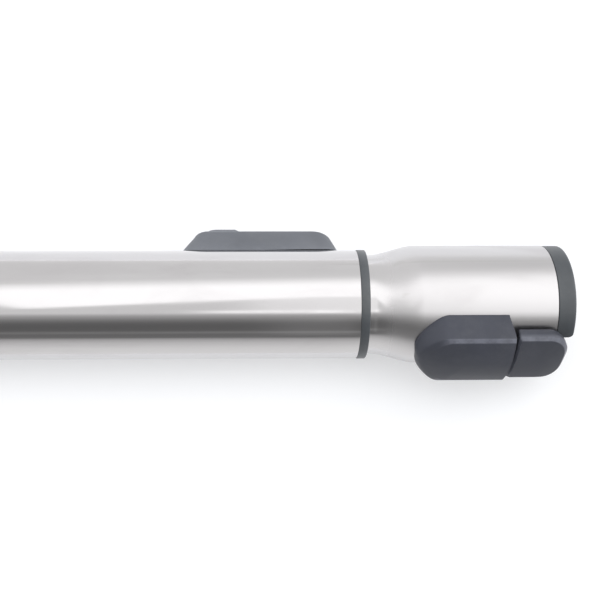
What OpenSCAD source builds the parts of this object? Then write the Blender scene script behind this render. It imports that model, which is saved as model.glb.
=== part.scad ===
// Telescopic extension wand for a vacuum cleaner, lying collapsed.
// The socket for the handle opens at the origin and faces +X. The lower tube runs to -X.
// The wand lies as it comes to rest: on its tube and on the lower corner of the slider.

/* [Tubes] */
// Outside diameter of the lower tube, which is also the standard size of the spigots
outer_d = 35; // [34:0.5:38]
// Wall of the lower tube
outer_wall = 0.6; // [0.5:0.05:0.8]
// Length of the lower tube
outer_len = 556; // [520:1:700]
// Distance from the lower end to the bead that stops a tool's socket
bead_back = 48; // [42:1:54]
// Width of that bead
bead_w = 3; // [2:0.5:5]
// Height of that bead
bead_h = 0.5; // [0.3:0.1:0.7]
// Wall of the upper tube
inner_wall = 0.6; // [0.5:0.05:0.8]
// Length of the upper tube from its lower end to the mouth of the socket
inner_len = 537; // [480:1:560]
// Width of the channel that is rolled along the upper tube
channel_w = 9; // [8.4:0.1:9.2]
// Depth of that channel
channel_depth = 1.8; // [1.6:0.1:2]
// Distance from one click dent of the channel to the next
dent_pitch = 18; // [15:1:25]
// Depth of a click dent
dent_depth = 0.3; // [0.2:0.05:0.4]
// Length of a click dent along the channel
dent_len = 5; // [4:0.5:6]

/* [Socket] */
// Straight length of the widened socket, with the collar of its liner
socket_len = 46.5; // [46:0.5:60]
// Length of the flare between the upper tube and the socket
flare_len = 15; // [12:0.5:20]
// Wall of the plastic liner
liner_wall = 0.75; // [0.7:0.05:1.2]
// Length of the collar at the mouth
collar_len = 5.3; // [4:0.1:5.5]
// Width of the guide notch in the collar
notch_w = 10; // [8:0.5:12]
// Length of the liner's relieved stretch around the catch
relief_len = 12; // [9:0.5:13]
// Depth of that relief
relief_depth = 0.3; // [0.2:0.05:0.35]

/* [Guide sleeve] */
// Wall of the sleeve between the two tubes
sleeve_wall = 0.75; // [0.7:0.05:1]
// Length of the sleeve inside the lower tube
sleeve_len = 70; // [68:1:80]
// Length of the collar that shows between the tubes
sleeve_collar_len = 2.8; // [2.5:0.1:4]
// How far that collar stands proud of the lower tube
sleeve_collar_proud = 0.15; // [0.1:0.05:0.4]

/* [Slider] */
// Length of the slider
slider_len = 50; // [49:0.5:56]
// Width of the slider at its base
slider_w = 21.2; // [21:0.1:23]
// Height of the slider above the lower tube
slider_h = 7.1; // [7:0.1:8]
// Height of the thumb ridge above the slider
ridge_h = 0.9; // [0.5:0.1:1.2]
// Length of the thumb ridge
ridge_len = 9; // [7:0.5:12]
// Wall of the slider
slider_wall = 1.6; // [1.4:0.05:1.7]
// Distance from the sleeve's collar to the slider
slider_gap = 5; // [3:0.5:8]
// How far the slider moves to let go
slider_travel = 6; // [5:0.5:6]
// How far the lock roller lifts on that way
roller_lift = 1.2; // [1:0.05:1.2]
// Radius of the lock roller
roller_r = 3.4; // [3.2:0.05:3.45]
// Radius of the roller's journals
journal_r = 1.25; // [1:0.05:1.3]
// Angle of the slider below the horizontal, as the wand lies
slider_down = 24.5; // [20:0.5:32]

/* [Latch] */
// Length of the latch's cover
cover_len = 29.5; // [28:0.5:31]
// Distance from the mouth to the cover
cover_back = 19.5; // [19:0.5:21]
// Width of the cover at its base
cover_w = 24; // [23.4:0.2:25]
// Width of the cover across its top
cover_top_w = 20.4; // [19.5:0.1:21]
// Height of the cover above the socket
cover_h = 4.9; // [4.8:0.1:6]
// Wall of the cover
cover_wall = 1.4; // [1.2:0.1:1.5]
// Length of the release pad
pad_len = 16.4; // [15:0.2:16.8]
// Width of the release pad
pad_w = 19.4; // [18:0.2:20.4]
// Thickness of the release pad
pad_t = 1.6; // [1.4:0.1:1.7]
// Height of the release pad's top above the socket
pad_h = 3.6; // [3.5:0.1:4]
// Height of the pivot above the socket
pivot_h = 1.7; // [1.7:0.05:1.9]
// Radius of the pivot pin
pivot_r = 0.75; // [0.6:0.05:0.8]
// Radius of the catch pin
catch_r = 2.5; // [2:0.1:2.8]
// Distance from the mouth to the catch pin
catch_back = 35; // [33:0.5:37]
// How far the catch pin stands into the socket
catch_in = 1.3; // [1:0.05:1.3]

/* [Fits] */
// Radial clearance of the upper tube in the sleeve
slide_clear = 0.1; // [0.05:0.01:0.15]
// Radial clearance of a spigot in the socket
spigot_clear = 0.1; // [0.05:0.01:0.2]
// Radial clearance between fixed pieces
fix_clear = 0.05; // [0.03:0.01:0.1]
// Radial clearance of a pin that turns
pin_clear = 0.05; // [0.03:0.01:0.08]
// Gap between flat faces that slide past each other
side_clear = 0.2; // [0.15:0.05:0.25]

/* [Hidden] */
$fn = 96;
facets = 32;
eps = 0.01;

steel = [0.74, 0.73, 0.71];
bright = [0.82, 0.82, 0.83];
dark_grey = [0.27, 0.28, 0.31];
mid_grey = [0.36, 0.37, 0.40];
black = [0.08, 0.08, 0.09];
white = [0.86, 0.86, 0.84];

// Radii, from the outside in
outer_r = outer_d / 2;
outer_ir = outer_r - outer_wall;
sleeve_r = outer_ir - fix_clear;
sleeve_ir = sleeve_r - sleeve_wall;
inner_r = sleeve_ir - slide_clear;
inner_ir = inner_r - inner_wall;
bore_r = outer_r + spigot_clear;
liner_r = bore_r + liner_wall;
socket_ir = liner_r + fix_clear;
socket_r = socket_ir + inner_wall;

// Places along the wand, from the mouth at 0 towards -X
rim_gap = 0.3;
rim_x = -collar_len - rim_gap;
flare_x1 = -socket_len;
flare_x0 = flare_x1 - flare_len;
tail_x = -inner_len;
sleeve_x1 = flare_x0 - 1.3;
tube_x1 = sleeve_x1 - sleeve_collar_len;
tube_x0 = tube_x1 - outer_len;
bead_steps = 12;
sleeve_x0 = tube_x1 - sleeve_len;
slider_x1 = tube_x1 - slider_gap;
slider_x0 = slider_x1 - slider_len;
roller_x = (slider_x0 + slider_x1) / 2;

// Channel along the upper tube
floor_z = inner_r - channel_depth;
channel_x1 = sleeve_x1 - 0.1;
key_w = channel_w - 2 * side_clear;
key_z = floor_z + 0.15;
dent_r = (dent_len * dent_len / 4 + dent_depth * dent_depth) / (2 * dent_depth);
dent_w = channel_w - 2;

// Lock: the roller's middle runs in the channel, its journals in the carrier's slanted slots
roller_clear = 0.03;
roller_z = floor_z + roller_clear + roller_r;
roller_w = key_w;
cheek_y0 = channel_w / 2 + 0.4;
cheek_t = 1.2;
cheek_y1 = cheek_y0 + cheek_t;
cheek_z0 = sqrt(inner_r * inner_r - cheek_y0 * cheek_y0) + side_clear;
cheek_front = 3;
cheek_back = slider_travel + 3.4;
slot_w = cheek_t + 2 * side_clear;
window_x0 = roller_x - cheek_front - slider_travel - 0.4;
window_x1 = roller_x + cheek_back + 0.4;
window_w = 2 * (cheek_y1 + 2 * side_clear);

// Slider and its bed
ceiling_z = outer_r + slider_h - 1.4;
cavity_w = slider_w - 2 * slider_wall - 0.6;
bed_top = outer_r + 1.3;
bed_w = cavity_w - 0.6;
bed_x0 = slider_x0 + slider_wall + 0.3;
bed_x1 = slider_x1 - slider_wall - slider_travel - 0.4;
rail_y = bed_w / 2 - 0.9;
groove_z0 = outer_r - 0.6;
groove_z1 = outer_r + 0.3;
fence_t = 1.6;
fence_top = roller_z + 3.6;
fence_x1 = roller_x + roller_r + 0.15 + fence_t;
spring_r = 1.5;
spring_wire = 0.22;
spring_z = bed_top + 0.1 + spring_r + spring_wire;
screw_r = 1.1;
screw_head_r = 2.2;
screw_head_h = 1.1;
screw_inset = 3.6;
screw_at = [bed_x0 + screw_inset, bed_x1 - screw_inset];

// Bush at the lower end of the upper tube
bush_len = 22;
bush_lip = 1.5;
bush_r = outer_ir - slide_clear;
bush_ir = inner_r + fix_clear;
bush_x1 = tail_x + bush_len;
buffer_len = 3;
groove_len = 3;
groove_x0 = tail_x + 9;
groove_r = bush_ir + 0.3;

// Latch
cover_top = socket_r + cover_h;
cover_x1 = -cover_back;
cover_x0 = cover_x1 - cover_len;
cover_ceiling = cover_top - cover_wall;
pad_x1 = -1.8;
pad_x0 = pad_x1 - pad_len;
pad_top = socket_r + pad_h;
pivot_x = cover_x1 - 1.9;
pivot_z = socket_r + pivot_h;
barrel_r = pivot_r + 0.8;
ear_y0 = 6.2;
ear_t = 1.4;
arm_w = 7.2;
arm_z0 = socket_r + 0.45;
arm_z1 = arm_z0 + 1.15;
catch_x = -catch_back;
catch_boss_r = catch_r + 1.1;
catch_hole_r = catch_r + 0.7;
catch_top = arm_z1 + 0.2;
base_t = 1.1;
base_w = cover_w - 2 * cover_wall - 0.9;
base_r = socket_r + fix_clear;
hook_x = [cover_x0 + 6, cover_x1 - 7];
hook_angle = 25;
hook_len = 4;
hook_w = 2.4;
hook_lip = 0.7;
spigot_hole_r = 4;
spigot_hole_back = 20;

slider_roll = -(90 + slider_down);
latch_roll = 90 - slider_down;

// Turns local +Z to the side that the slider is on
module toward_slider() {
    rotate([slider_roll, 0, 0]) children();
}

// Turns local +Z to the side that the latch is on, opposite the slider
module toward_latch() {
    rotate([latch_roll, 0, 0]) children();
}

// A cylinder along the wand from x0 to x1
module rod(x0, x1, r) {
    translate([x0, 0, 0]) rotate([0, 90, 0]) cylinder(h = x1 - x0, r = r);
}

// A tube along the wand from x0 to x1
module sleeve(x0, x1, r_in, r_out) {
    difference() {
        rod(x0, x1, r_out);
        rod(x0 - eps, x1 + eps, r_in);
    }
}

// A pin across the wand, with its middle at x, z
module cross_pin(x, z, r, y0, y1) {
    translate([x, y1, z]) rotate([90, 0, 0]) cylinder(h = y1 - y0, r = r);
}

// A block between two corners
module span(low, high) {
    translate(low) cube(high - low);
}

// A block with rounded corners seen from above
module rounded_block(x0, x1, w, r, z0, z1) {
    translate([0, 0, z0]) linear_extrude(z1 - z0) {
        translate([x0 + r, -w / 2]) square([x1 - x0 - 2 * r, w]);
        translate([x0, -w / 2 + r]) square([x1 - x0, w - 2 * r]);
        for (x = [x0 + r, x1 - r], y = [-w / 2 + r, w / 2 - r]) translate([x, y]) circle(r = r);
    }
}

// A tongue of the sleeve's or the seal's section that fills the channel
module channel_key(x0, x1, top_r) {
    intersection() {
        toward_slider() span([x0, -key_w / 2, key_z], [x1, key_w / 2, top_r + 1]);
        rod(x0, x1, top_r);
    }
}

function unit(v) = v / norm(v);

// Direction of a path at point i
function heading(path, i) =
    unit(path[min(i + 1, len(path) - 1)] - path[max(i - 1, 0)]);

// Across the path, square to a fixed direction that the path never follows
function across(dir, side) = unit(cross(dir, side));

// A round wire along a path. side is a direction that the path never runs along.
module wire(path, r, side, sides = 8) {
    points = [
        for (i = [0 : len(path) - 1])
            let (d = heading(path, i), u = across(d, side), v = cross(d, u))
            for (k = [0 : sides - 1])
                path[i] + r * (cos(360 * k / sides) * u + sin(360 * k / sides) * v)
    ];
    walls = [
        for (i = [0 : len(path) - 2], k = [0 : sides - 1])
            let (a = i * sides + k, b = i * sides + (k + 1) % sides)
            [a, b, b + sides, a + sides]
    ];
    start = [for (k = [sides - 1 : -1 : 0]) k];
    end = [for (k = [0 : sides - 1]) (len(path) - 1) * sides + k];
    polyhedron(points, concat([start], walls, [end]), convexity = 8);
}

// Outside or inside of the lower tube, with the rolled bead that stops a tool's socket
function bead_line(r) = [
    for (i = [0 : bead_steps])
        [r + bead_h * (1 - cos(360 * i / bead_steps)) / 2,
         tube_x0 + bead_back + bead_w * i / bead_steps]
];

module beaded_rod(r, end) {
    rotate([0, 90, 0]) rotate_extrude()
        polygon(concat([[0, tube_x0 - end], [r, tube_x0 - end]], bead_line(r),
            [[r, tube_x1 + end], [0, tube_x1 + end]]));
}

module outer_tube() {
    color(steel) difference() {
        beaded_rod(outer_r, 0);
        beaded_rod(outer_ir, eps);
        toward_slider() span([window_x0, -window_w / 2, 0], [window_x1, window_w / 2, outer_r + 1]);
        toward_slider() for (x = screw_at)
            translate([x, 0, 0]) cylinder(h = outer_r + 1, r = screw_r + fix_clear);
        toward_latch() translate([tube_x0 + spigot_hole_back, 0, 0])
            cylinder(h = outer_r + 1, r = spigot_hole_r);
    }
}

// Bush between the tubes. Its keys run in the channel and take the bed's screws.
module guide_sleeve() {
    seal_x0 = tube_x1 + 0.5;
    seal_x1 = sleeve_x1 - 0.6;
    color(mid_grey) difference() {
        union() {
            sleeve(sleeve_x0, tube_x1, sleeve_ir, sleeve_r);
            sleeve(tube_x1, sleeve_x1, sleeve_ir, outer_r + sleeve_collar_proud);
            channel_key(sleeve_x0 + 0.5, tube_x1 - 0.5, sleeve_r - 0.2);
        }
        sleeve(seal_x0, seal_x1, sleeve_ir - 1, sleeve_ir + 0.65);
        toward_slider() span([window_x0, -window_w / 2, 0], [window_x1, window_w / 2, outer_r]);
        toward_slider() for (x = screw_at)
            translate([x, 0, 0]) cylinder(h = outer_r, r = screw_r + fix_clear);
    }
}

// Soft ring in the collar, with a tongue in the channel
module wiper_seal() {
    seal_x0 = tube_x1 + 0.5 + fix_clear;
    seal_x1 = sleeve_x1 - 0.6 - fix_clear;
    color(black) {
        sleeve(seal_x0, seal_x1, sleeve_ir, sleeve_ir + 0.65 - fix_clear);
        channel_key(seal_x0, seal_x1, sleeve_ir + 0.3);
    }
}

// Saddle screwed to the lower tube. Its rails hold the slider and its fences hold the roller.
module slider_bed() {
    pocket = roller_r + 0.15;
    color(dark_grey) toward_slider() difference() {
        union() {
            difference() {
                rounded_block(bed_x0, bed_x1, bed_w, 5, 0, bed_top);
                rod(bed_x0 - 1, bed_x1 + 1, outer_r + fix_clear);
            }
            span([window_x0 + 0.2, -key_w / 2, sleeve_ir + 0.2],
                 [window_x1 - 0.2, key_w / 2, bed_top]);
            span([roller_x - pocket - fence_t, -key_w / 2, sleeve_ir + 0.2],
                 [fence_x1, key_w / 2, fence_top]);
        }
        span([roller_x - pocket, -window_w / 2, 0], [roller_x + pocket, window_w / 2, fence_top + 1]);
        for (s = [-1, 1]) {
            translate([0, s * (cheek_y0 + cheek_t / 2) - slot_w / 2, 0])
                span([window_x0, 0, 0], [window_x1, slot_w, bed_top + 1]);
            translate([0, s * (rail_y + 5) - 5, 0])
                span([bed_x0 - 1, 0, groove_z0], [bed_x1 + 1, 10, groove_z1]);
        }
        for (x = screw_at) translate([x, 0, 0]) {
            cylinder(h = bed_top + 1, r = screw_r + fix_clear);
            translate([0, 0, bed_top - screw_head_h])
                cylinder(h = screw_head_h + eps, r1 = screw_r + 3 * fix_clear,
                    r2 = screw_head_r + 3 * fix_clear);
        }
    }
}

module bed_screws() {
    color(bright) toward_slider() for (x = screw_at) translate([x, 0, 0]) difference() {
        union() {
            translate([0, 0, key_z + 0.3]) cylinder(h = bed_top - key_z - 0.5, r = screw_r);
            translate([0, 0, bed_top - screw_head_h])
                cylinder(h = screw_head_h, r1 = screw_r, r2 = screw_head_r);
        }
        for (a = [0, 90]) rotate([0, 0, a])
            span([-1.3, -0.25, bed_top - 0.7], [1.3, 0.25, bed_top + eps]);
    }
}

// Outer form of the slider: straight sides with a little draft, round ends and a soft top edge
module slider_form() {
    r = 6.5;
    edge = 1.8;
    top_w = slider_w - 0.8;
    top = outer_r + slider_h;
    hull() {
        for (x = [slider_x0 + r, slider_x1 - r], s = [-1, 1])
            translate([x, s * (slider_w / 2 - r), 0]) cylinder(h = outer_r, r = r, $fn = facets);
        for (x = [slider_x0 + r + 1.5, slider_x1 - r - 1.5], s = [-1, 1])
            translate([x, s * (top_w / 2 - r), top - edge])
                rotate_extrude($fn = facets) {
                    square([r - edge, edge]);
                    intersection() {
                        translate([r - edge, 0]) circle(r = edge, $fn = facets);
                        square([r, edge]);
                    }
                }
    }
}

// Low ridge across the far end of the slider, for the thumb
module thumb_ridge() {
    z = outer_r + slider_h - 0.6;
    x = slider_x0 + 12;
    hull() for (dx = [-ridge_len / 2 + 1.5, ridge_len / 2 - 1.5], s = [-1, 1])
        translate([x + dx, s * (slider_w / 2 - 2.9), z])
            cylinder(h = ridge_h + 0.6, r1 = 1.8, r2 = 1, $fn = facets / 2);
}

module slider_button() {
    lip_y0 = rail_y + side_clear;
    lip_len = slider_len - 22;
    color(dark_grey) toward_slider() {
        difference() {
            union() {
                slider_form();
                thumb_ridge();
            }
            rounded_block(slider_x0 + slider_wall, slider_x1 - slider_wall, cavity_w,
                5, 0, ceiling_z);
            rod(slider_x0 - 1, slider_x1 + 1, outer_r + 0.35);
        }
        for (s = [-1, 1]) {
            intersection() {
                translate([0, s * (lip_y0 + 5) - 5, 0])
                    span([roller_x - lip_len / 2, 0, groove_z0 + side_clear],
                         [roller_x + lip_len / 2, 10, groove_z1 - side_clear]);
                translate([0, -cavity_w / 2 - 0.1, 0])
                    span([slider_x0, 0, 0], [slider_x1, cavity_w + 0.2, outer_r + 5]);
            }
            for (x = [roller_x - cheek_front + 1, roller_x + cheek_back - 2])
                translate([x, s * (cheek_y1 + fix_clear + 5) - 5, 0])
                    intersection() {
                        span([0, 0, bed_top + 0.4], [1, 10, ceiling_z + 0.1]);
                        translate([0, 5 - s * (cheek_y1 + fix_clear + 5) - cavity_w / 2 - 0.1, 0])
                            span([-1, 0, 0], [2, cavity_w + 0.2, outer_r + 9]);
                    }
        }
    }
}

// Steel stirrup pressed into the slider. Its slanted slots lift the roller.
module roller_carrier() {
    slope = atan(roller_lift / slider_travel);
    plate = 0.6;
    top = ceiling_z - fix_clear;
    color(bright) toward_slider() difference() {
        union() {
            for (s = [-1, 1])
                translate([0, s * (cheek_y0 + cheek_t / 2) - cheek_t / 2, 0])
                    span([roller_x - cheek_front, 0, cheek_z0],
                         [roller_x + cheek_back, cheek_t, top]);
            span([roller_x - cheek_front, -cheek_y1, top - plate],
                 [roller_x + cheek_back, cheek_y1, top]);
        }
        translate([roller_x, 0, roller_z]) {
            slot_run = slider_travel / cos(slope);
            rotate([0, -slope, 0])
                span([0, -10, -journal_r - pin_clear], [slot_run, 10, journal_r + pin_clear]);
            for (x = [0, slider_travel])
                cross_pin(x, x * tan(slope), journal_r + pin_clear, -10, 10);
        }
    }
}

// Return spring between the rear fence and the slider's rear wall
module slider_spring() {
    x0 = fence_x1 + 0.1 + spring_wire;
    x1 = slider_x1 - slider_wall - 0.1 - spring_wire;
    turns = 8;
    steps = 14;
    color(bright) toward_slider()
        wire([for (i = [0 : turns * steps])
                let (t = i / (turns * steps), a = 360 * turns * t)
                [x0 + (x1 - x0) * t, spring_r * cos(a), spring_z + spring_r * sin(a)]],
            spring_wire, [1, 0, 0], 6);
}

// Steel roller that clamps the channel's floor
module lock_roller() {
    color(bright) toward_slider() {
        cross_pin(roller_x, roller_z, roller_r, -roller_w / 2, roller_w / 2);
        cross_pin(roller_x, roller_z, journal_r, -cheek_y1, cheek_y1);
    }
}

// Half profile of the upper tube: straight, flared in an S-curve, and straight again at the socket
function flare_r(t) = inner_r + (socket_r - inner_r) * (3 * t * t - 2 * t * t * t);

module tube_profile(inset) {
    steps = 16;
    curve = [for (i = [0 : steps]) [flare_r(i / steps) - inset, flare_x0 + flare_len * i / steps]];
    outside = concat([[inner_r - inset, tail_x - inset]], curve, [[socket_r - inset, rim_x + inset]]);
    polygon(concat([[0, tail_x - inset]], outside, [[0, rim_x + inset]]));
}

// Upper tube, drawn from one tube: the socket is flared and the channel is rolled in
module inner_tube() {
    channel_cut = channel_w / 2 + inner_wall;
    color(steel) difference() {
        rotate([0, 90, 0]) rotate_extrude() tube_profile(0);
        difference() {
            rotate([0, 90, 0]) rotate_extrude() tube_profile(inner_wall);
            toward_slider() span([tail_x - 5, -channel_cut, floor_z - inner_wall],
                                 [channel_x1 + inner_wall, channel_cut, inner_r + 1]);
        }
        toward_slider() {
            span([tail_x - 1, -channel_w / 2, floor_z], [channel_x1, channel_w / 2, inner_r + 1]);
            for (x = [tail_x + bush_len + dent_pitch : dent_pitch : flare_x0 - dent_pitch])
                cross_pin(x, floor_z - dent_depth + dent_r, dent_r, -dent_w / 2, dent_w / 2);
        }
        toward_latch() {
            translate([catch_x, 0, 0]) cylinder(h = socket_r + 1, r = catch_hole_r);
            base_hooks(fix_clear);
        }
    }
}

// Hooks of the latch's base, grown by a clearance for the slots that they pass
module base_hooks(grow, lip = 0) {
    for (x = hook_x, s = [-1, 1]) rotate([s * hook_angle, 0, 0]) {
        span([x - grow, -hook_w / 2 - grow, bore_r + 0.15 - grow],
             [x + hook_len + grow, hook_w / 2 + grow, socket_r + base_t / 2]);
        span([x - grow, -hook_w / 2 - grow, bore_r + 0.15 - grow],
             [x + hook_len + lip + grow, hook_w / 2 + grow, socket_ir - fix_clear + grow]);
    }
}

// Plastic lining of the socket, relieved around the catch, with a collar at the mouth and
// a guide notch in it
module socket_liner() {
    chamfer = 0.4;
    color(dark_grey) difference() {
        union() {
            sleeve(-socket_len, -collar_len, bore_r, liner_r);
            sleeve(-collar_len, 0, bore_r, socket_r - 0.1);
        }
        translate([-chamfer, 0, 0]) rotate([0, 90, 0])
            cylinder(h = chamfer + eps, r1 = bore_r, r2 = bore_r + chamfer);
        rod(catch_x - relief_len / 2, catch_x + relief_len / 2, bore_r + relief_depth);
        toward_latch() {
            span([-collar_len, -notch_w / 2, 0], [1, notch_w / 2, socket_r + 1]);
            translate([catch_x, 0, 0]) cylinder(h = socket_r, r = catch_hole_r);
            base_hooks(2 * fix_clear, hook_lip);
        }
    }
}

// Sliding bush on the lower end of the upper tube, with a groove for the air seal
module tube_bush() {
    color(white) difference() {
        union() {
            sleeve(tail_x, bush_x1, bush_ir, bush_r);
            sleeve(tail_x - bush_lip, tail_x, inner_ir, bush_r);
            intersection() {
                toward_slider() span([tail_x - bush_lip, -key_w / 2, key_z],
                                     [bush_x1, key_w / 2, bush_r]);
                rod(tail_x - bush_lip, bush_x1, bush_r - 0.2);
            }
        }
        sleeve(groove_x0, groove_x0 + groove_len, groove_r, bush_r + 1);
    }
}

module air_seal() {
    x0 = groove_x0 + 2 * fix_clear;
    x1 = groove_x0 + groove_len - 2 * fix_clear;
    color(black) rotate([0, 90, 0]) rotate_extrude()
        polygon([[groove_r + fix_clear, x0], [outer_ir - 0.1, x0], [outer_ir - 0.04, (x0 + x1) / 2],
                 [outer_ir - 0.1, x1], [groove_r + fix_clear, x1]]);
}

// Rubber ring that meets the guide sleeve when the wand is fully drawn out
module end_buffer() {
    color(black) {
        sleeve(bush_x1, bush_x1 + buffer_len, bush_ir, bush_r - 0.1);
        channel_key(bush_x1, bush_x1 + buffer_len, bush_r - 0.3);
    }
}

// Base of the latch: a saddle on the socket with two ears for the pivot pin
module latch_base() {
    nose = 5.5;
    base_x0 = cover_x0 + cover_wall + 2.8;
    base_x1 = cover_x1 - 0.3;
    window_half = arm_w / 2 + 0.5;
    ear_r = pivot_r + 0.85;
    color(mid_grey) toward_latch() {
        difference() {
            intersection() {
                union() {
                    rounded_block(base_x0, base_x1 - 5, base_w, nose, 0, cover_top);
                    rounded_block(base_x0 + nose, base_x1, base_w, 1, 0, cover_top);
                }
                sleeve(base_x0 - 1, base_x1 + 1, base_r, base_r + base_t);
            }
            span([catch_x - catch_boss_r - 0.5, -window_half, 0],
                 [base_x1 + 1, window_half, cover_top]);
            span([pivot_x - barrel_r - 0.5, side_clear - ear_y0, 0],
                 [base_x1 + 1, ear_y0 - side_clear, cover_top]);
        }
        for (s = [-1, 1]) difference() {
            translate([0, s * (ear_y0 + ear_t / 2) - ear_t / 2, 0]) union() {
                span([pivot_x - ear_r, 0, socket_r - 3], [pivot_x + ear_r, ear_t, pivot_z]);
                cross_pin(pivot_x, pivot_z, ear_r, 0, ear_t);
            }
            rod(pivot_x - 5, pivot_x + 5, base_r);
            cross_pin(pivot_x, pivot_z, pivot_r + fix_clear / 2, -20, 20);
        }
        base_hooks(0, hook_lip);
    }
}

// Form of the latch's cover, drawn in by a wall for its hollow
module cover_form(inset) {
    nose = 7 - inset;
    edge = 1.7;
    base_half = cover_w / 2 - inset;
    top_half = cover_top_w / 2 - inset;
    rear = cover_x1 + 4;
    hull() {
        for (s = [-1, 1]) {
            translate([cover_x0 + inset + nose, s * (base_half - nose), socket_r - 7])
                cylinder(h = 5.2, r = nose, $fn = facets);
            translate([rear, s * (base_half - 0.5), socket_r - 7]) cylinder(h = 5.2, r = 0.5, $fn = 12);
            translate([cover_x0 + inset + nose + 2.6, s * (top_half - nose), cover_top - inset - edge])
                rotate_extrude($fn = facets) {
                    square([nose - edge, edge]);
                    intersection() {
                        translate([nose - edge, 0]) circle(r = edge, $fn = facets);
                        square([nose, edge]);
                    }
                }
            translate([rear, s * (top_half - edge), cover_top - inset - edge])
                rotate([0, 90, 0]) cylinder(h = 0.5, r = edge, $fn = facets);
        }
    }
}

module latch_cover() {
    color(dark_grey) toward_latch() difference() {
        cover_form(0);
        cover_form(cover_wall);
        rod(cover_x0 - 1, cover_x1 + 9, socket_r + 2 * fix_clear);
        span([cover_x1, -20, 0], [cover_x1 + 9, 20, 40]);
    }
}

module pivot_pin() {
    half = ear_y0 + ear_t - 0.1;
    color(bright) toward_latch() cross_pin(pivot_x, pivot_z, pivot_r, -half, half);
}

// Torsion spring on the pivot pin: one leg under the cover, one on the rocker's arm
module latch_spring() {
    wire_r = 0.2;
    coil_r = pivot_r + pin_clear + 0.15 + wire_r;
    y0 = 4.2;
    y1 = 5.8;
    turns = 3.5;
    steps = 14;
    leg = 7;
    upper = cover_ceiling - wire_r - 0.15;
    lower = arm_z1 + wire_r + 0.05;
    coil = [
        for (i = [0 : turns * steps])
            let (a = 90 + 360 * i / steps)
            [pivot_x + coil_r * cos(a), y1 - (y1 - y0) * i / (turns * steps),
             pivot_z + coil_r * sin(a)]
    ];
    color(bright) toward_latch()
        wire(concat([[pivot_x - leg, y1, upper]], coil,
            [[pivot_x + 0.2 - leg / 2, y0, lower - 0.6], [pivot_x - leg, y0 - 0.4, lower],
             [pivot_x - leg - 1, 1.5, lower]]),
            wire_r, [0.1, 1, 0.15], 6);
}

// Rocker: the pad that a finger presses, its barrel on the pin and the arm to the catch
module release_button() {
    edge = 0.7;
    z0 = pad_top - pad_t;
    barrel_y1 = 3.9;
    barrel_y0 = -ear_y0 + side_clear;
    r = 5.5;
    color(dark_grey) toward_latch() difference() {
        union() {
            hull() {
                for (s = [-1, 1]) {
                    translate([pad_x1 - r, s * (pad_w / 2 - r), z0])
                        cylinder(h = pad_t - edge, r = r, $fn = facets);
                    translate([pad_x1 - r, s * (pad_w / 2 - r), z0])
                        cylinder(h = pad_t, r = r - edge, $fn = facets);
                    translate([pad_x0 + 0.5, s * (pad_w / 2 - 0.5), z0])
                        cylinder(h = pad_t - edge, r = 0.5, $fn = 12);
                    translate([pad_x0 + 0.5, s * (pad_w / 2 - 0.5 - edge), z0])
                        cylinder(h = pad_t, r = 0.5, $fn = 12);
                }
            }
            cross_pin(pivot_x, pivot_z, barrel_r, barrel_y0, barrel_y1);
            span([pivot_x, barrel_y0, pivot_z - 0.6], [pad_x0 + 2, barrel_y1, pivot_z + 0.9]);
            span([catch_x, -arm_w / 2, arm_z0], [pivot_x, arm_w / 2, arm_z1]);
            translate([catch_x, 0, arm_z0]) cylinder(h = arm_z1 - arm_z0, r = catch_boss_r);
        }
        cross_pin(pivot_x, pivot_z, pivot_r + pin_clear, -20, 20);
        translate([catch_x, 0, 0]) cylinder(h = 40, r = catch_r + fix_clear / 2);
    }
}

// Steel pin that drops into the spigot's hole
module catch_pin() {
    z0 = bore_r - catch_in;
    color(bright) toward_latch() translate([catch_x, 0, z0]) {
        cylinder(h = 0.8, r1 = catch_r - 0.8, r2 = catch_r);
        translate([0, 0, 0.8]) cylinder(h = catch_top - z0 - 0.8, r = catch_r);
    }
}

outer_tube();
guide_sleeve();
wiper_seal();
slider_bed();
bed_screws();
slider_button();
roller_carrier();
slider_spring();
lock_roller();
inner_tube();
socket_liner();
tube_bush();
air_seal();
end_buffer();
latch_base();
latch_cover();
pivot_pin();
latch_spring();
release_button();
catch_pin();
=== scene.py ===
import math
import bmesh
import bpy
import numpy as np
from mathutils import Matrix, Vector


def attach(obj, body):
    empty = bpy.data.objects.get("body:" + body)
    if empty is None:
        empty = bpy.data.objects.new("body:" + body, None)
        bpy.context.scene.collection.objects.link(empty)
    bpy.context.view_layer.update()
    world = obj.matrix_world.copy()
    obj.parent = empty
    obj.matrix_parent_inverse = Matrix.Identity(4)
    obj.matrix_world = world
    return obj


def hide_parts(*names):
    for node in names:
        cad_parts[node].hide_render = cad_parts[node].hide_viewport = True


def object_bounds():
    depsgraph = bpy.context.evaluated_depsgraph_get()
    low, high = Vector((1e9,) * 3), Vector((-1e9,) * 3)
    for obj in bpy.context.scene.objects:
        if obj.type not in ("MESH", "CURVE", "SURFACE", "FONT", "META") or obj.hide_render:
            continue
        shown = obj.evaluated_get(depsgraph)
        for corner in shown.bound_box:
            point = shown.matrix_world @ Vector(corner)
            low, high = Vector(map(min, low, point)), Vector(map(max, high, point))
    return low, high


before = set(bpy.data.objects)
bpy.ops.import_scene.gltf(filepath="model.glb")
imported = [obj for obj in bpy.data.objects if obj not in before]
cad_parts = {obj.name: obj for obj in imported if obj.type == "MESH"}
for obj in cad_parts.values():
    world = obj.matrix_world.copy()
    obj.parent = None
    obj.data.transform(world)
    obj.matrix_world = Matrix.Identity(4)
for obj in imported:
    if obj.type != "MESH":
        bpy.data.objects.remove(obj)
cadLow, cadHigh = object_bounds()  # the CAD box, before any piece is replaced
print("frame loaded with", len(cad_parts), "CAD nodes")

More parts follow.
